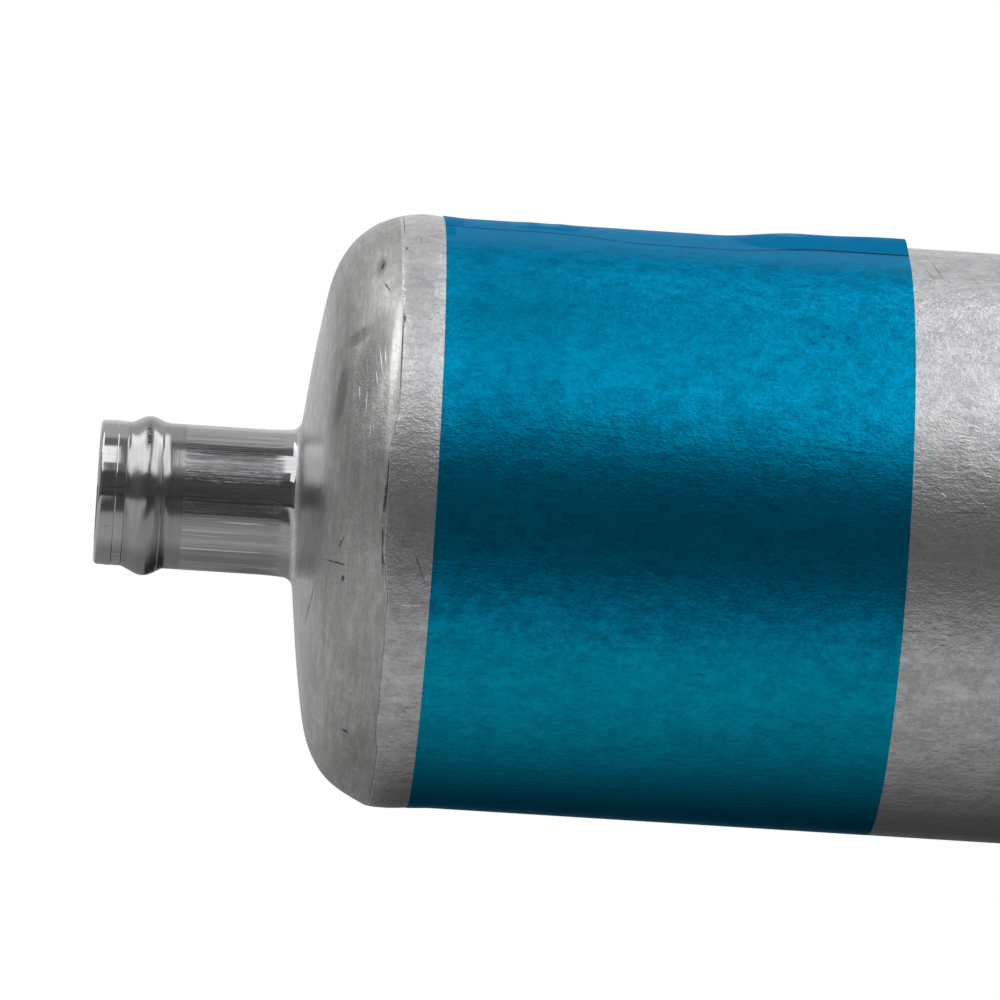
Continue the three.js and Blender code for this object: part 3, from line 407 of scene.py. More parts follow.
def hexagon(name, flats, x0, x1, y=0, both_ends=True):
    """A hexagonal bar along X with its corners turned off."""
    corner = flats / math.sqrt(3)
    only_this()
    bpy.ops.mesh.primitive_cylinder_add(
        vertices=6, radius=corner * MM, depth=(x1 - x0) * MM, location=((x0 + x1) / 2 * MM, y * MM, 0),
        rotation=(0, math.pi / 2, 0),
    )
    piece = bpy.context.object
    piece.name = piece.data.name = name
    bpy.ops.object.transform_apply(location=True, rotation=True, scale=True)
    if abs(piece.dimensions.z - 2 * corner * MM) > 0.01 * MM:
        edit(piece, everything=True)
        centre = ((x0 + x1) / 2 * MM, y * MM, 0)
        bpy.ops.transform.rotate(value=math.radians(30), orient_axis="X", center_override=centre)
    face = flats / 2 * 0.95
    turned = (corner + 0.1 - face) * math.tan(math.radians(30))
    start = [(x0, 0), (x0, face), (x0 + turned, corner + 0.1)] if both_ends else [(x0, 0), (x0, corner + 0.1)]
    blank = start + [(x1 - turned, corner + 0.1), (x1, face), (x1, 0)]
    return cut(piece, spun("blank", blank, 64, y=y), "INTERSECT")


def bore_out(piece, bore, x0, x1, y=0):
    """Drills a piece through along X and countersinks both ends."""
    tool = [(x0 - 0.5, 0), (x0 - 0.5, bore + 0.85), (x0 + 0.35, bore)]
    tool += [(x1 - 0.35, bore), (x1 + 0.5, bore + 0.85), (x1 + 0.5, 0)]
    return cut(piece, spun("drill", tool, 48, y=y))


# %% Outlet fitting
fitting_section = [(53, 2.2), (53, 5.7), (53.3, 6), (76.6, 6), (77.1, 5.3), (79.1, 5.3), (79.8, 6), (90.2, 6)]
fitting_section += [(91.1, 5.1), (91.1, 4.3), (90.7, 3.8), (58, 3.8), (58, 2.2)]
fitting = spun("threaded_fitting", fitting_section + fitting_section[:1], 96)
collar = hexagon("hexagon", 17, 69.6, 77.1)
cut(collar, spun("core", [(60, 0), (60, 5), (80, 5), (80, 0)], 48))
cut(fitting, collar, "UNION")
thread(fitting, 6.0, 1.5, 79.0, 9)
tidy(fitting)
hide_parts("outlet_fitting")
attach(fitting, "housing")
print("fitting:", len(fitting.data.polygons), "faces")

washer_section = arc(77.7, 6.8, 0.5, 180, 270, 5) + arc(78.2, 6.8, 0.5, 270, 360, 5)
washer_section += arc(78.2, 7.8, 0.5, 0, 90, 5) + arc(77.7, 7.8, 0.5, 90, 180, 5)
sealing_washer = spun("sealing_washer", washer_section + washer_section[:1], 96)
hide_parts("outlet_washer")
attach(sealing_washer, "housing")

# %% [markdown]
# ## Terminals
# Each terminal is a stud through the cover, a low nut that clamps it, a washer, and an upper nut that is left
# loose over the room for a ring terminal.


# %% Terminal hardware
def terminal(word, side, radius, pitch, head, flats, reach):
    """One stud with its nuts and washer."""
    y = stud_place * side
    section = [(56.4, 0), (56.4, head - 0.3), (56.7, head), (58.9, head), (58.9, radius), (83.5, radius)]
    stud = spun("stud_" + word, section + [(84, radius - 0.5), (84, 0)], 48, y=y)
    thread(stud, radius, pitch, 72.5, int(12.2 / pitch), y)
    low = bore_out(hexagon("low_nut_" + word, flats, 69.6, 72.2, y), radius + 0.1, 69.6, 72.2, y)
    high = bore_out(hexagon("nut_" + word, flats, 75.7, 79.7, y), radius + 0.1, 75.7, 79.7, y)
    ring = [(72.3, radius + 0.1), (72.3, reach - 0.15), (72.45, reach), (73.15, reach), (73.3, reach - 0.15)]
    washer = spun("washer_" + word, ring + [(73.3, radius + 0.1), (72.3, radius + 0.1)], 64, y=y)
    for piece, node in ((stud, "stud"), (low, "base_nut"), (high, "nut"), (washer, "washer")):
        tidy(piece)
        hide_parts(f"terminal_{node}_{word}")
        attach(piece, "housing")
    return [stud, low, high, washer]


plated = [fitting] + terminal("positive", 1, 2.5, 0.8, 4.4, 8, 5) + terminal("negative", -1, 2, 0.7, 3.8, 7, 4.5)
print("plated pieces:", [piece.name for piece in plated])

# %% [markdown]
# ## Springs
# The four coil springs are wire carried along a helix.


# %% Coil springs
def coil(name, x0, x1, bend, wire, turns):
    """A spring along X from x0 to x1."""
    ring = [(wire * math.cos(math.tau * i / 10), bend + wire * math.sin(math.tau * i / 10)) for i in range(10)]
    return helix(name, ring, x0 + wire, turns, (x1 - x0 - 2 * wire) / turns, steps=32)


def finish_spring(spring, node):
    """Puts a spring in its node's stead, on the housing, with a mesh of its own."""
    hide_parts(node)
    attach(spring, "housing")
    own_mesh(spring)


# how far the relief valve lies above the pump's axis, and where along it the brushes are
relief_place, brush_place = 22, 31.9
relief_coil = coil("relief_coil", -65.73, -61.79, 1.7, 0.25, 4)
only_this(relief_coil)
relief_coil.location = (0, 0, relief_place * MM)
bpy.ops.object.transform_apply(location=True)
finish_spring(relief_coil, "relief_spring")
check_coil = coil("check_coil", 60.25, 66.95, 2.3, 0.3, 6)
finish_spring(check_coil, "check_spring")
brush_coils = []
for word, side in (("positive", 1), ("negative", -1)):
    spring = coil("brush_coil_" + word, 17.4, 23.5, 2.1, 0.3, 5)
    only_this(spring)
    spring.rotation_euler = (0, -side * math.pi / 2, 0)
    spring.location = (brush_place * MM, 0, 0)
    bpy.ops.object.transform_apply(location=True, rotation=True)
    finish_spring(spring, "brush_spring_" + word)
    brush_coils.append(spring)
springs = [relief_coil, check_coil] + brush_coils
for spring in springs:
    corners = [Vector(c) / MM for c in spring.bound_box]
    print(spring.name, [round(v, 2) for v in corners[0]], [round(v, 2) for v in corners[6]])

# %% [markdown]
# ## Colours and nodes
# Colours are written as sRGB hex values, as a paint program shows them, and turned to the linear values
# that Blender's sockets hold. Every finish is made of nodes that read the object's own coordinates, so a
# pattern stays on its piece. One small helper adds a node, sets it and links what goes into it.


# %% Materials: helpers
def colour(code):
    """An sRGB hex code as a linear colour."""
    parts = [int(code[i : i + 2], 16) / 255 for i in (1, 3, 5)]
    return [c / 12.92 if c <= 0.04045 else ((c + 0.055) / 1.055) ** 2.4 for c in parts] + [1.0]


def add(tree, kind, *values, sockets=None, stops=(), **settings):
    """Adds a node. Its kind may be followed by its operation or data type, as in "Math ADD". Values go to its
    live inputs in order: numbers, hex colours, or nodes by their first output."""
    kind, _, mode = kind.partition(" ")
    made = tree.nodes.new("ShaderNode" + kind)
    if mode:
        setattr(made, "data_type" if kind == "Mix" else "operation", mode)
    for name, value in settings.items():
        setattr(made, name, value)
    live = [socket for socket in made.inputs if socket.enabled]
    for socket, value in list(zip(live, values)) + [(made.inputs[n], v) for n, v in (sockets or {}).items()]:
        if isinstance(value, bpy.types.Node):
            tree.links.new(next(out for out in value.outputs if out.enabled), socket)
        elif isinstance(value, bpy.types.NodeSocket):
            tree.links.new(value, socket)
        else:
            socket.default_value = colour(value) if isinstance(value, str) else value
    for number, (position, value) in enumerate(stops):
        points = made.color_ramp.elements
        point = points[number] if number < 2 else points.new(position)
        point.position, point.color = position, (value, value, value, 1)
    return made


def new_finish(name, **values):
    """A material with a Principled shader, and the object's own coordinates in millimetres."""
    material = bpy.data.materials.new(name)
    material.use_nodes = True
    tree = material.node_tree
    shader = tree.nodes["Principled BSDF"]
    for socket, value in values.items():
        shader.inputs[socket.replace("_", " ")].default_value = value
    place = add(tree, "TexCoord").outputs["Object"]
    return material, tree, shader, add(tree, "VectorMath SCALE", place, 1 / MM)


def pattern(tree, place, grains, detail=4.0, roughness=0.55, low=0.3, high=0.7):
    """Noise from 0 to 1. Grains is how many of its grains fit in a millimetre along X, Y and Z."""
    scaled = add(tree, "Mapping", place, sockets={"Scale": grains})
    noise = add(tree, "TexNoise", scaled, sockets={"Scale": 1.0, "Detail": detail, "Roughness": roughness})
    return add(tree, "MapRange", noise.outputs[0], low, high)


def finish_with(tree, shader, tone, roughness=None, height=None, depth=0.01):
    """Links a colour, a roughness and a bump, whose depth is in millimetres, to the shader."""
    links = [("Base Color", tone), ("Roughness", roughness)]
    if height:
        links.append(("Normal", add(tree, "Bump", 1.0, depth * MM, sockets={"Height": height})))
    for socket, value in links:
        if value:
            tree.links.new(next(out for out in value.outputs if out.enabled), shader.inputs[socket])


def layered(tree, tone, *layers):
    """Lays tints over a colour, one after another. Each has a mask, the mask's strength and a hex colour."""
    for mask, strength, tint in layers:
        tone = add(tree, "Mix RGBA", add(tree, "Math MULTIPLY", mask, strength), tone, tint)
    return tone


def marks(tree, place, spots):
    """A mask of oval marks: x, y, z, length along X, height, and turn in degrees."""
    whole = None
    for x, y, z, long, tall, turn in spots:
        settings = {"Location": (x, y, z), "Rotation": (0, math.radians(turn), 0), "Scale": (long / 2, 8, tall / 2)}
        local = add(tree, "Mapping", place, sockets=settings, vector_type="TEXTURE")
        spot = add(tree, "MapRange", add(tree, "VectorMath LENGTH", local), 1.0, 0.5)
        whole = add(tree, "Math MAXIMUM", whole, spot) if whole else spot
    return whole


# %% [markdown]
# ## Bare aluminium
# The same metal has several finishes. The wall is drawn: a bright skin with a fine grain, lines along the
# pump and dull smudges. The dome is pressed and satin, with scuffs that run round it. The stem's barrel is
# drawn through a polished ring that left hard streaks, and its lip and bead are turned and rolled bright.


# %% Drawn wall
def wear(tree, place):
    """The can's own marks, shared by the bare metal and by the film that it shows through."""
    # die lines along X, about 0.4 mm apart round the can and 20 mm long
    lines = pattern(tree, place, (0.05, 1.7, 1.7), 6, 0.68, 0.3, 0.7)
    # handling scratches 0.2 mm high and 1 mm long, in patches of 8 mm
    dashes = pattern(tree, place, (1.0, 4.4, 4.4), 3, 0.6, 0.57, 0.69)
    patches = pattern(tree, place, (0.1, 0.14, 0.14), 3, 0.6, 0.42, 0.6)
    # the speckle of drawn metal at every size from 2 mm down to 0.15 mm
    grit = pattern(tree, place, (0.42, 0.58, 0.58), 4, 0.95, 0.38, 0.62)
    return lines, add(tree, "Math MULTIPLY", dashes, patches), grit


drawn_wall, tree, shader, place = new_finish("drawn_aluminium_wall", Metallic=1.0, Roughness=0.4)
lines, smudges, grit = wear(tree, place)
scratches = marks(tree, place, [
    (-65.5, -29.4, -5.3, 5.2, 0.2, 68), (-14.4, -11.4, 27.6, 2.6, 0.25, 60), (-15.2, -12.0, 27.1, 1.8, 0.2, 55),
    (-16.0, -28.8, 8.2, 4.0, 0.2, 3), (-9.0, -29.0, 6.6, 7.0, 0.2, 2), (-11.5, -29.6, 3.4, 5.0, 0.2, -2),
    (-66.6, -12.0, 27.3, 0.2, 0.6, 0),
])
# painted shade in the groove behind the crease
groove_shade = marks(tree, place, [
    (-68.38, -25.0, 14.8, 0.2, 14.0, 1), (-69.2, -29.3, 2.6, 0.22, 6.0, 0), (-68.2, -22.7, 19.1, 0.4, 1.0, 0),
    (-68.1, -13.6, 26.3, 0.25, 0.5, 0), (-68.2, -8.0, 28.9, 0.14, 3.0, 0),
])
# painted glints: short scratches painted white, which also raise the bump
scratch_glints = marks(tree, place, [
    (-10.7, -25.5, 15.8, 1.1, 0.12, 25), (-13.2, -25.2, 16.2, 0.7, 0.12, -20), (-11.8, -28.1, 10.5, 0.8, 0.14, 15),
    (-14.0, -29.6, 5.0, 0.7, 0.14, 40), (-65.9, -28.5, -9.3, 2.6, 0.12, -3), (-8.3, -24.9, 17.0, 0.8, 0.12, 40),
])
tone = layered(
    tree, add(tree, "Mix RGBA", lines, "#e2e3e5", "#f4f4f6"), (grit, 0.65, "#b0b1b4"), (smudges, 0.6, "#77787c"),
    (scratches, 0.45, "#3c3d40"), (groove_shade, 0.8, "#2c2d30"), (scratch_glints, 1.0, "#ffffff"),
)
rough = add(tree, "MapRange", add(tree, "Math ADD", smudges, grit), 0.0, 2.0, 0.32, 0.46)
speckle = add(tree, "Math ADD", grit, add(tree, "Math MULTIPLY", scratch_glints, 2.0))
height = add(tree, "Math ADD", add(tree, "Math MULTIPLY", lines, 0.3), speckle)
finish_with(tree, shader, tone, rough, height, 0.027)
print("wall finish:", len(tree.nodes), "nodes")


# %% Satin dome
def round_axis(tree, place, along, across, around):
    """Coordinates for marks that run round the axis: by the distance along it, the radius and the place round."""
    parts = add(tree, "SeparateXYZ", place)
    flat = add(tree, "CombineXYZ", 0.0, parts.outputs[1], parts.outputs[2])
    radius = add(tree, "VectorMath LENGTH", flat)
    facing = add(tree, "VectorMath SCALE", add(tree, "VectorMath NORMALIZE", flat), around)
    turned = add(tree, "SeparateXYZ", facing)
    lengthwise = add(tree, "Math MULTIPLY", parts.outputs[0], along)
    both = add(tree, "Math ADD", lengthwise, add(tree, "Math MULTIPLY", radius, across))
    return add(tree, "CombineXYZ", both, turned.outputs[1], turned.outputs[2]), radius


satin_dome, tree, shader, place = new_finish("pressed_aluminium_dome", Metallic=1.0, Roughness=0.38)
ringwise, radius = round_axis(tree, place, 0.8, 0.8, 4.0)
scuffs = pattern(tree, ringwise, (1, 1, 1), 5, 0.92, 0.38, 0.62)
blots = pattern(tree, place, (0.14, 0.14, 0.14), 4, 0.62, 0.4, 0.66)
grit = pattern(tree, place, (0.8, 0.8, 0.8), 4, 0.95, 0.38, 0.62)
# nicks; the two tall thin marks at the crease's lower front are painted shade in the crease
nicks = marks(tree, place, [
    (-70.4, -15.7, 24.4, 0.35, 1.1, 20), (-70.0, -19.3, 22.3, 0.22, 1.7, -35), (-69.3, -29.2, 1.2, 0.3, 5.0, 2),
    (-69.2, -29.2, -3.8, 0.3, 7.0, -4), (-73.5, -24.3, -5.5, 3.4, 0.22, 12), (-73.2, -26.0, -3.4, 0.3, 1.3, 20),
    (-72.8, -26.2, -7.0, 0.4, 0.8, 0), (-71.3, -17.7, -22.3, 1.2, 0.25, 30), (-75.6, -16.0, -10.0, 0.2, 6.0, 8),
])
nicks = add(tree, "Math MULTIPLY", nicks, pattern(tree, place, (1.6, 1.6, 1.6), 4, 0.8, 0.36, 0.5))
# a grey halo round the top nick, two smudges, and a broad painted shade over the corner's upper front
smudges_and_painted_shade = marks(tree, place, [
    (-70.5, -15.9, 24.3, 1.2, 2.6, 15), (-72.2, -21.4, 17.3, 1.5, 4.4, 50), (-74.0, -22.4, 11.2, 1.2, 8.0, 6),
    (-71.0, -24.0, 15.0, 3.6, 13.0, 8),
])
# painted highlight along the upper front of the crease's edge, broken by the grit
crease_highlight = marks(tree, place, [(-69.0, -25.5, 15.4, 1.1, 15.0, 3)])
crease_highlight = add(tree, "Math MULTIPLY", crease_highlight, add(tree, "MapRange", grit, 0.0, 0.7, 0.35, 1.0))
# painted glints: bright scratches painted white, which also raise the bump
glints = marks(tree, place, [
    (-70.35, -25.0, 14.7, 0.13, 3.4, -8), (-69.95, -24.9, 15.2, 0.12, 2.4, -5), (-71.6, -26.3, 10.4, 0.12, 3.0, 1),
    (-72.3, -24.9, 11.4, 0.12, 1.6, -3), (-70.7, -25.8, 13.0, 0.12, 2.0, -10), (-71.1, -27.6, 7.6, 0.12, 2.2, 2),
])
tone = layered(
    tree, add(tree, "Mix RGBA", scuffs, "#b6b6b4", "#dededc"), (blots, 0.3, "#a3a3a0"), (grit, 0.5, "#a4a4a2"),
    (smudges_and_painted_shade, 0.55, "#6a6a68"), (nicks, 0.8, "#2f2f2e"), (crease_highlight, 0.8, "#fdfbfa"), (glints, 1.0, "#ffffff"),
)
# the lathe faced the flat of the dome smooth, and left the pressed corner satin
faced = add(tree, "MapRange", radius, 19.0, 23.2, 0.18, 0.38)
rough = add(tree, "Math ADD", faced, add(tree, "Math MULTIPLY", blots, 0.06))
speckle = add(tree, "Math ADD", grit, add(tree, "Math MULTIPLY", glints, 2.0))
height = add(tree, "Math ADD", add(tree, "Math MULTIPLY", scuffs, 0.8), speckle)
finish_with(tree, shader, tone, rough, height, 0.02)
print("dome finish:", len(tree.nodes), "nodes")

# %% [markdown]
# The barrel's streaks are long and hard-edged: bands of bright metal between bands that the drawing ring
# left dull. They fade away over the last millimetres before the root. Thin white lines over them are painted
# highlights, and a dark band along the upper side is a painted reflection.

# %% Drawn barrel, turned lip and rolled bead
drawn_barrel, tree, shader, place = new_finish("drawn_aluminium_barrel", Metallic=1.0, Roughness=0.08)
streaks = pattern(tree, place, (0.012, 0.9, 0.9), 7, 0.85, 0.47, 0.55)
# thin white lines painted over the streaks as highlights
highlight_lines = pattern(tree, place, (0.02, 1.6, 1.6), 3, 0.7, 0.62, 0.64)
fine = pattern(tree, place, (0.03, 5.0, 5.0), 4, 0.6, 0.35, 0.65)
along = add(tree, "SeparateXYZ", place)
fading = add(tree, "MapRange", along.outputs[0], -78.4, -79.2)
dulled = add(tree, "Math MULTIPLY", streaks, fading)
# a painted dark reflection along the upper side, from 1.4 to 5.8 mm above the axis
belt = add(tree, "MapRange", along.outputs[2], 1.4, 3.6)
belt = add(tree, "Math MULTIPLY", belt, add(tree, "MapRange", along.outputs[2], 5.8, 5.2))
lined = add(tree, "MapRange", add(tree, "Math MULTIPLY", fine, fading), 0.0, 1.0, 0.2, 0.6)
stain_and_painted_reflection = add(tree, "Math MULTIPLY", belt, lined)
tone = layered(
    tree, "#d4d4d6", (dulled, 0.45, "#8d8e94"), (fine, 0.35, "#9fa0a5"),
    (add(tree, "Math MULTIPLY", highlight_lines, fading), 1.0, "#ffffff"), (stain_and_painted_reflection, 1.0, "#404148"),
)
rough = add(tree, "MapRange", dulled, 0.0, 1.0, 0.05, 0.12)
height = add(tree, "Math ADD", add(tree, "Math MULTIPLY", streaks, 0.8), add(tree, "Math MULTIPLY", fine, 0.3))
finish_with(tree, shader, tone, rough, add(tree, "Math MULTIPLY", height, fading), 0.004)

rolled_bead, tree, shader, place = new_finish("rolled_aluminium_bead", Metallic=1.0, Roughness=0.24)
ringwise, _ = round_axis(tree, place, 7.0, 7.0, 1.5)
rings = pattern(tree, ringwise, (1, 1, 1), 4, 0.6, 0.3, 0.7)
blush = pattern(tree, place, (0.9, 0.5, 0.5), 4, 0.65, 0.3, 0.7)
# the roller tore the crest a little on the upper front
torn = marks(tree, place, [(-92.5, -5.2, 6.0, 0.9, 3.6, 3)])
torn = add(tree, "Math MULTIPLY", torn, pattern(tree, place, (3.0, 3.5, 3.5), 4, 0.7, 0.42, 0.55))
tone = add(tree, "Mix RGBA", rings, "#b2b2b2", "#c0c0c0")
tone = layered(tree, tone, (blush, 0.3, "#a9a9ab"), (torn, 0.8, "#4a4446"))
rough = add(tree, "MapRange", blush, 0.0, 1.0, 0.13, 0.24)
finish_with(tree, shader, tone, rough, add(tree, "Math ADD", rings, blush), 0.004)

turned_lip, tree, shader, place = new_finish("turned_aluminium_lip", Metallic=1.0, Roughness=0.1)
ringwise, _ = round_axis(tree, place, 12.0, 12.0, 0.6)
rings = pattern(tree, ringwise, (1, 1, 1), 4, 0.6, 0.3, 0.7)
nicks = pattern(tree, place, (0.3, 3.0, 3.0), 4, 0.6, 0.6, 0.66)
tone = layered(tree, add(tree, "Mix RGBA", rings, "#c6c6c6", "#cfcfcf"), (nicks, 0.5, "#7c7c7f"))
rough = add(tree, "MapRange", rings, 0.0, 1.0, 0.07, 0.13)
finish_with(tree, shader, tone, rough, rings, 0.002)

# %% [markdown]
# Each finish goes into its zone's slot.

# %% Finishing the can
for number, finish in enumerate((drawn_wall, satin_dome, drawn_barrel, rolled_bead, turned_lip)):
    can.data.materials[number] = finish
print("can:", [slot.material.name for slot in can.material_slots])

# %% [markdown]
# ## Blue film
# The film is clear polyester dyed blue, 0.05 mm thick, stuck flat on bright metal. Light goes through it
# twice, so what the eye sees is the metal's own shine and marks with all the red and much of the green taken
# out. It is painted as that: a metal of the doubly filtered colour, with the can's own lines and smudges,
# under a thin gloss. Along the top, air under the film pales it, and the raised blister is deeper again.

# %% Film finish
tinted_film, tree, shader, place = new_finish(
    "tinted_polyester_film", Metallic=1.0, Roughness=0.4, Coat_Weight=0.03, Coat_Roughness=0.15,
    Specular_Tint=colour("#00a8d0"),
)
lines, smudges, grit = wear(tree, place)
scuffs = marks(tree, place, [
    (-26.2, -21.8, 20.6, 1.3, 1.7, 20), (-25.6, -23.0, 19.0, 1.0, 1.1, -30), (-23.9, -22.5, 19.9, 0.8, 0.8, 5),
    (-52.0, -28.7, 8.8, 22.0, 0.25, 2), (-47.0, -28.4, 9.5, 12.0, 0.2, 3), (-23.5, -28.7, 8.7, 11.0, 0.3, 3),
    (-30.0, -28.9, 8.0, 7.0, 0.2, 2), (-52.0, -27.7, -11.4, 1.0, 0.25, 30), (-42.8, -26.5, -14.0, 1.1, 0.25, -25),
    (-36.8, -26.3, -14.3, 1.3, 0.25, 10), (-27.5, -22.8, 19.4, 1.2, 0.4, 60),
])
ragged = pattern(tree, place, (1.0, 2.4, 2.4), 5, 0.8, 0.42, 0.56)
haze = pattern(tree, place, (0.03, 0.05, 0.05), 3, 0.5, 0.4, 0.6)
parts = add(tree, "SeparateXYZ", place)
# a duller, rubbed patch toward the inlet
left = add(tree, "MapRange", parts.outputs[0], -51.9, -52.3)
belt = add(tree, "MapRange", add(tree, "Math ABSOLUTE", add(tree, "Math SUBTRACT", parts.outputs[2], 15.0)), 7.0, 5.5)
dull = add(tree, "Math MULTIPLY", left, belt)
# air under the film pales it along the lap, from 33 degrees behind the top to 30 degrees in front of it
round_it = add(tree, "Math ARCTAN2", parts.outputs[2], parts.outputs[1])
below = add(tree, "MapRange", round_it, math.radians(120), math.radians(107), interpolation_type="SMOOTHSTEP")
# the colour deepens where the upper layer stands clear of the lower one, as it does in the blister
flat = add(tree, "CombineXYZ", 0.0, parts.outputs[1], parts.outputs[2])
outer = add(tree, "MapRange", add(tree, "VectorMath LENGTH", flat), 30.08, 30.105)
above = add(tree, "MapRange", round_it, math.radians(55), math.radians(60))
between = add(tree, "Math MULTIPLY", above, add(tree, "MapRange", round_it, math.radians(112), math.radians(111)))
lap = add(tree, "Math MULTIPLY", outer, between)
milky = add(tree, "Math MULTIPLY", add(tree, "Math MULTIPLY", below, above), add(tree, "Math SUBTRACT", 1.0, lap))
# painted light: the film's lower half is painted greener and paler, for light from the table coming up through it
foot = add(tree, "MapRange", parts.outputs[2], -7.0, -16.0, interpolation_type="SMOOTHSTEP")
grain = add(tree, "Math MULTIPLY", grit, add(tree, "MapRange", foot, 0.0, 1.0, 0.85, 0.5))
# painted highlights: small blisters in the lap shine like lenses
bubble_highlights = marks(tree, place, [
    (-56.4, -4.5, 29.72, 2.4, 0.36, 0), (-53.5, -4.0, 29.8, 3.4, 0.36, 0), (-29.1, -3.0, 30.45, 4.4, 0.4, 0),
])
tone = layered(
    tree, add(tree, "Mix RGBA", lines, "#00a8dc", "#00b6ea"), (foot, 1.0, "#00b6d8"), (grain, 1.0, "#007ca2"),
    (haze, 0.2, "#0084ae"), (dull, 0.16, "#006486"), (smudges, 0.5, "#00486a"),
    (add(tree, "Math MULTIPLY", scuffs, ragged), 0.5, "#00202e"), (milky, 0.45, "#94ccf4"), (lap, 0.75, "#00a8d8"),
    (bubble_highlights, 0.5, "#b8e6ff"),
)
rough = add(tree, "MapRange", add(tree, "Math ADD", smudges, grit), 0.0, 2.0, 0.3, 0.44)
height = add(tree, "Math ADD", add(tree, "Math MULTIPLY", lines, 0.3), grit)
finish_with(tree, shader, tone, rough, height, 0.019)
film.data.materials[0] = tinted_film

# the cut edge, which passes light along the film and so looks pale
cut_edge, tree, shader, place = new_finish("cut_edge_of_film", Roughness=0.5)
rings = pattern(tree, place, (2.0, 2.0, 2.0), 3, 0.6, 0.3, 0.7)
finish_with(tree, shader, add(tree, "Mix RGBA", rings, "#3f86bc", "#5c9fd0"))
film.data.materials[1] = cut_edge

# %% [markdown]
# ## The outlet end's finishes
# The fitting, studs and nuts are steel with a thin blue-white zinc plate, which looks paler and softer than
# the can. The sealing washer is soft copper. The cover is glass-filled nylon: black, with the faint mottle
# that the fibres give its skin.

# %% Zinc, copper and black plastic
zinc_plate, tree, shader, place = new_finish("zinc_plated_steel", Metallic=1.0, Roughness=0.3)
cloud = pattern(tree, place, (0.5, 0.5, 0.5), 4, 0.6, 0.3, 0.7)
grain = pattern(tree, place, (3.0, 3.0, 3.0), 3, 0.6, 0.3, 0.7)
tone = layered(tree, add(tree, "Mix RGBA", cloud, "#b9bcc0", "#cccfd2"), (grain, 0.25, "#dfe1e3"))
finish_with(tree, shader, tone, add(tree, "MapRange", cloud, 0.0, 1.0, 0.25, 0.38), grain, 0.003)
for piece in plated:
    piece.data.materials.append(zinc_plate)

soft_copper, tree, shader, place = new_finish("soft_copper", Metallic=1.0, Roughness=0.32)
ringwise, _ = round_axis(tree, place, 4.0, 6.0, 2.0)
rings = pattern(tree, ringwise, (1, 1, 1), 4, 0.6, 0.3, 0.7)
stain_and_painted_reflection = pattern(tree, place, (0.3, 0.3, 0.3), 4, 0.6, 0.4, 0.65)
tone = layered(tree, add(tree, "Mix RGBA", rings, "#c98a68", "#dca080"), (stain_and_painted_reflection, 0.5, "#8e5a44"))
finish_with(tree, shader, tone, add(tree, "MapRange", stain_and_painted_reflection, 0.0, 1.0, 0.25, 0.45), rings, 0.004)
sealing_washer.data.materials.append(soft_copper)

black_nylon, tree, shader, place = new_finish("glass_filled_black_nylon", Roughness=0.5)
fibre = pattern(tree, place, (1.2, 1.2, 1.2), 5, 0.7, 0.35, 0.65)
grain = pattern(tree, place, (6.0, 6.0, 6.0), 3, 0.6, 0.3, 0.7)
tone = add(tree, "Mix RGBA", fibre, "#161617", "#222224")
rough = add(tree, "MapRange", fibre, 0.0, 1.0, 0.42, 0.6)
finish_with(tree, shader, tone, rough, add(tree, "Math ADD", fibre, grain), 0.01)
cover.data.materials.append(black_nylon)

# %% [markdown]
# ## The hidden pieces
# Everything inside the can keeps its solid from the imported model. Each slot of the record gets the finish of
# the real material and of how the piece was made, and the springs get the drawn steel.


# %% Finishes inside
def inner(name, dark, light, grains, roughness, metal=1.0, depth=0.004, detail=4.0):
    """A finish with one mottle: its two colours, its grains in a millimetre and its roughness range."""
    material, tree, shader, place = new_finish(name, Metallic=metal, Roughness=roughness[0])
    mottle = pattern(tree, place, grains, detail, 0.6, 0.3, 0.7)
    rough = add(tree, "MapRange", mottle, 0.0, 1.0, *roughness)
    finish_with(tree, shader, add(tree, "Mix RGBA", mottle, dark, light), rough, mottle, depth)
    return material


inside = {
    # woven wire, drawn coarser than its real 0.1 mm so that it can be seen
    "steel_gauze": inner("steel_wire_gauze", "#55585c", "#b9bcc0", (2.5, 2.5, 2.5), (0.3, 0.5), 1.0, 0.05, 1.0),
    # pressed powder: dark, matt and finely pitted
    "sintered_iron": inner("sintered_iron", "#5b5a58", "#7c7a77", (3.0, 3.0, 3.0), (0.5, 0.65), 1.0, 0.02),
    # ground bright, with fine marks round the piece
    "hardened_steel": inner("ground_hardened_steel", "#a2a4a8", "#bdbfc3", (0.5, 4.0, 4.0), (0.18, 0.3)),
    "zinc_plated_steel": zinc_plate,
    "sintered_bronze": inner("oiled_sintered_bronze", "#8a6a3c", "#a98650", (3.0, 3.0, 3.0), (0.4, 0.55), 1.0, 0.02),
    # enamelled wire and drawn bars
    "copper": inner("drawn_copper", "#b06f48", "#cf9068", (0.3, 2.5, 2.5), (0.25, 0.4), 1.0, 0.02),
    # fired and ground: charcoal grey with a dull sparkle
    "ferrite": inner("ground_ferrite", "#2c2c2e", "#3e3e41", (2.0, 2.0, 2.0), (0.45, 0.6), 0.0, 0.01),
    "brush_carbon": inner("copper_graphite", "#2f2926", "#57463b", (4.0, 4.0, 4.0), (0.4, 0.6), 0.4, 0.01),
    "seal_rubber": inner("moulded_nitrile_rubber", "#101011", "#1b1b1c", (2.0, 2.0, 2.0), (0.5, 0.65), 0.0, 0.005),
    "natural_plastic": inner("natural_acetal", "#dcd8cc", "#ece9df", (0.6, 0.6, 0.6), (0.35, 0.45), 0.0, 0.003),
    "black_plastic": black_nylon,
    "bare_aluminium": drawn_wall,
    "blue_film": tinted_film,
}
for piece in springs:
    piece.data.materials.append(inside["hardened_steel"])
dressed = 0
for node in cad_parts.values():
    for number, old in enumerate(node.material_slots):
        family = next(name for name in inside if old.material.name.startswith(name))
        node.material_slots[number].material = inside[family]
        dressed += 1
print("slots dressed inside:", dressed)
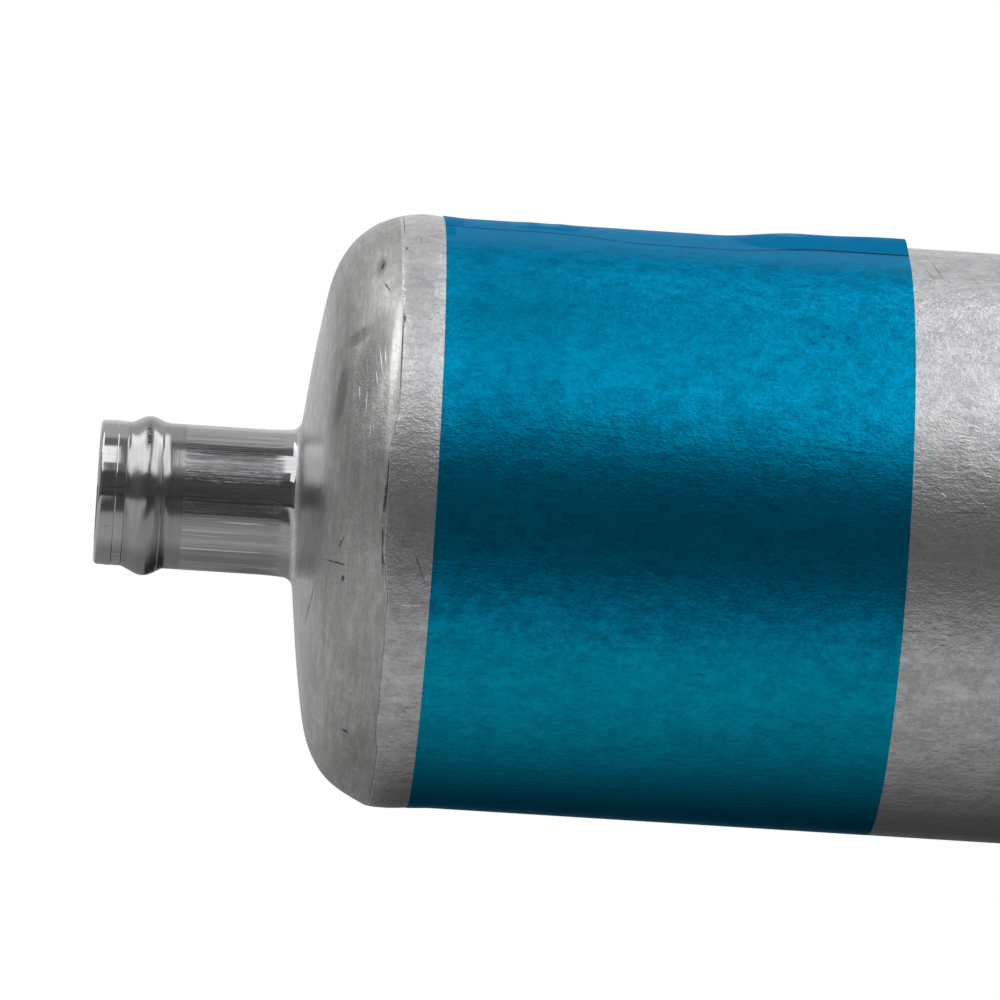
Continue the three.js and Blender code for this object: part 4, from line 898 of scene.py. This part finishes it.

# %% [markdown]
# ## Light and floor
# The pump hangs in a white studio between two large soft boxes overhead, one toward its inlet and one toward
# its outlet, with a gap above the middle. Bright metal shows the room as well as the lamps, so there is a
# room for it to show: dark behind the camera, grey overhead, pale behind the pump, and a table below, pale on
# the camera's side and dark under the pump, where the pump's shadow is painted on it. Only reflections see
# the room. The camera sees the plain white surround and a pale floor that keeps the pump's soft shadow.


# %% World
def lone_stage(piece, material, reflected_only=False):
    """Gives a stage piece its material, and hides it from all but reflections if it is seen only in them."""
    piece.data.materials.append(material)
    if reflected_only:
        for sort in ("camera", "diffuse", "transmission", "shadow", "volume_scatter"):
            setattr(piece, "visible_" + sort, False)


world = bpy.data.worlds.new("white_surround")
bpy.context.scene.world = world
world.use_nodes = True
sky = world.node_tree
rays = add(sky, "LightPath")
seen = add(sky, "Math MAXIMUM", rays.outputs["Is Camera Ray"], rays.outputs["Is Glossy Ray"])
seen = add(sky, "Math MAXIMUM", seen, rays.outputs["Is Transmission Ray"])
sky.links.new(add(sky, "Mix RGBA", seen, "#b0b0b0", "#ffffff").outputs[2], sky.nodes["Background"].inputs["Color"])


# %% Soft boxes
lamp_height = 0.75


def soft_box(name, x0, x1, y0, y1, level):
    """An area lamp overhead, in metres, whose level is its brightness."""
    only_this()
    bpy.ops.object.light_add(type="AREA", location=((x0 + x1) / 2, (y0 + y1) / 2, lamp_height))
    lamp = bpy.context.object
    lamp.name = lamp.data.name = name
    lamp.data.shape = "RECTANGLE"
    lamp.data.size, lamp.data.size_y = x1 - x0, y1 - y0
    lamp.data.energy = level * math.pi * (x1 - x0) * (y1 - y0)
    lamp.visible_camera = False


soft_box("inlet_box", -1.2, -0.28, -1.05, 0.35, 1.25)
soft_box("outlet_box", 0.085, 0.95, -1.05, 0.35, 1.25)
soft_box("strip_box", -0.28, -0.105, -0.66, -0.14, 1.25)


# %% Room for the reflections
def plain_emission(name):
    """A material that only gives off light, and the place on it in metres."""
    material = bpy.data.materials.new(name)
    material.use_nodes = True
    tree = material.node_tree
    glow = add(tree, "Emission")
    tree.links.new(glow.outputs[0], tree.nodes["Material Output"].inputs[0])
    material.cycles.emission_sampling = "NONE"
    return material, tree, glow, add(tree, "TexCoord").outputs["Object"]


room_tone, tree, glow, place = plain_emission("room_tone")
toward = add(tree, "SeparateXYZ", add(tree, "VectorMath NORMALIZE", place))
flat = add(tree, "CombineXYZ", toward.outputs[0], toward.outputs[1], 0.0)
around = add(tree, "SeparateXYZ", add(tree, "VectorMath NORMALIZE", flat))
# brightness at the horizon, from behind the camera at 0 to behind the pump at 1
share = add(tree, "MapRange", around.outputs[1], -1.0, 1.0)
horizon = add(tree, "ValToRGB", share, stops=[
    (0.0, 0.07), (1.0, 0.75), (0.22, 0.10), (0.4, 0.19), (0.65, 0.27), (0.87, 0.42),
])
slope = add(tree, "MapRange", toward.outputs[2], -0.08, 0.06, 0.55, 1.0)
low = add(tree, "Math MULTIPLY", horizon, slope)
overhead = add(tree, "MapRange", toward.outputs[1], 0.05, 0.2, 0.19, 0.52, interpolation_type="SMOOTHSTEP")
rise = add(tree, "MapRange", toward.outputs[2], 0.5, 0.68, interpolation_type="SMOOTHSTEP")
whole = add(tree, "Mix FLOAT", rise, low, overhead)
tree.links.new(whole.outputs[0], glow.inputs["Strength"])
only_this()
bpy.ops.mesh.primitive_uv_sphere_add(segments=64, ring_count=32, radius=1.6, location=(-0.0145, 0, 0))
room = bpy.context.object
room.name = "reflected_room"
lone_stage(room, room_tone, reflected_only=True)

table_tone, tree, glow, place = plain_emission("table_tone")
parts = add(tree, "SeparateXYZ", place)
slant = add(tree, "Math MULTIPLY", add(tree, "Math ADD", parts.outputs[0], 0.01), 0.4)
share = add(tree, "MapRange", add(tree, "Math ADD", parts.outputs[1], slant), -0.5, 0.5)
# brightness under the pump, from the camera's side at 0 to the far side at 1: the dark stretch is the pump's painted
# shadow, set slanting
across = add(tree, "ValToRGB", share, stops=[
    (0.0, 0.07), (1.0, 0.30), (0.2, 0.09), (0.27, 0.36), (0.42, 0.40), (0.5, 0.2), (0.54, 0.08), (0.6, 0.03),
    (0.85, 0.04),
])
# under the spigot, past the can's end, the painted shadow is lighter
beside = add(tree, "MapRange", parts.outputs[0], -0.08, -0.068)
under = add(tree, "MapRange", parts.outputs[1], -0.02, 0.03)
inlet_side = add(tree, "Math MAXIMUM", across, 0.24)
behind = add(tree, "Math MULTIPLY", add(tree, "Math SUBTRACT", 1.0, beside), under)
mixed = add(tree, "Mix FLOAT", behind, across, inlet_side)
# further out on the inlet side the table is paler
far = add(tree, "MapRange", parts.outputs[0], -0.15, -0.3)
mixed = add(tree, "Mix FLOAT", far, mixed, 0.52)
tree.links.new(mixed.outputs[0], glow.inputs["Strength"])
only_this()
bpy.ops.mesh.primitive_circle_add(vertices=128, radius=1.4, fill_type="NGON", location=(0, 0, -0.136))
table = bpy.context.object
table.name = "reflected_table"
lone_stage(table, table_tone, reflected_only=True)

# %% Floor
only_this()
bpy.ops.mesh.primitive_circle_add(vertices=128, radius=1.3, fill_type="NGON", location=(-0.0145, 0, -0.14))
floor = bpy.context.object
floor.name = "floor"
pale_floor = bpy.data.materials.new("pale_floor")
pale_floor.use_nodes = True
tree = pale_floor.node_tree
shader = tree.nodes["Principled BSDF"]
shader.inputs["Base Color"].default_value = colour("#e2e2e2")
shader.inputs["Roughness"].default_value = 0.8
away = add(tree, "VectorMath LENGTH", add(tree, "TexCoord").outputs["Object"])
fade = add(tree, "MapRange", away, 0.25, 1.1, interpolation_type="SMOOTHSTEP")
white = add(tree, "Emission", "#ffffff")
share = add(tree, "Math MULTIPLY", fade, add(tree, "LightPath").outputs["Is Camera Ray"])
mix = add(tree, "MixShader", share, shader, white)
tree.links.new(mix.outputs[0], tree.nodes["Material Output"].inputs[0])
lone_stage(floor, pale_floor)

# %% [markdown]
# ## Camera
# The photograph was taken from about a metre away with a long lens, level with the pump, from a little to
# its inlet side. It was turned 3.6 degrees, so that the pump slopes down to the right.

# %% Camera
yaw, pitch, roll = math.radians(2.988), math.radians(0.02), math.radians(3.641)
# the place is in metres, the sensor in millimetres, and the lens reaches so many times the sensor's width
camera_place, sensor, reach = (-0.10984, -1.02411, 0.00137), 36, 10.077
forward = Vector((math.sin(yaw) * math.cos(pitch), math.cos(yaw) * math.cos(pitch), math.sin(pitch)))
level = forward.cross(Vector((0, 0, 1))).normalized()
upright = level.cross(forward)
right = level * math.cos(roll) + upright * math.sin(roll)
up = upright * math.cos(roll) - level * math.sin(roll)
only_this()
bpy.ops.object.camera_add()
camera = bpy.context.object
turned = Matrix((right, up, -forward)).transposed().to_4x4()
camera.matrix_world = Matrix.Translation(camera_place) @ turned
camera.data.sensor_width = sensor
camera.data.lens = sensor * reach
camera.data.clip_end = 20
bpy.context.scene.camera = camera
bpy.context.scene.view_settings.view_transform = "Standard"
print("camera at", [round(c / MM, 1) for c in camera.location], "mm")
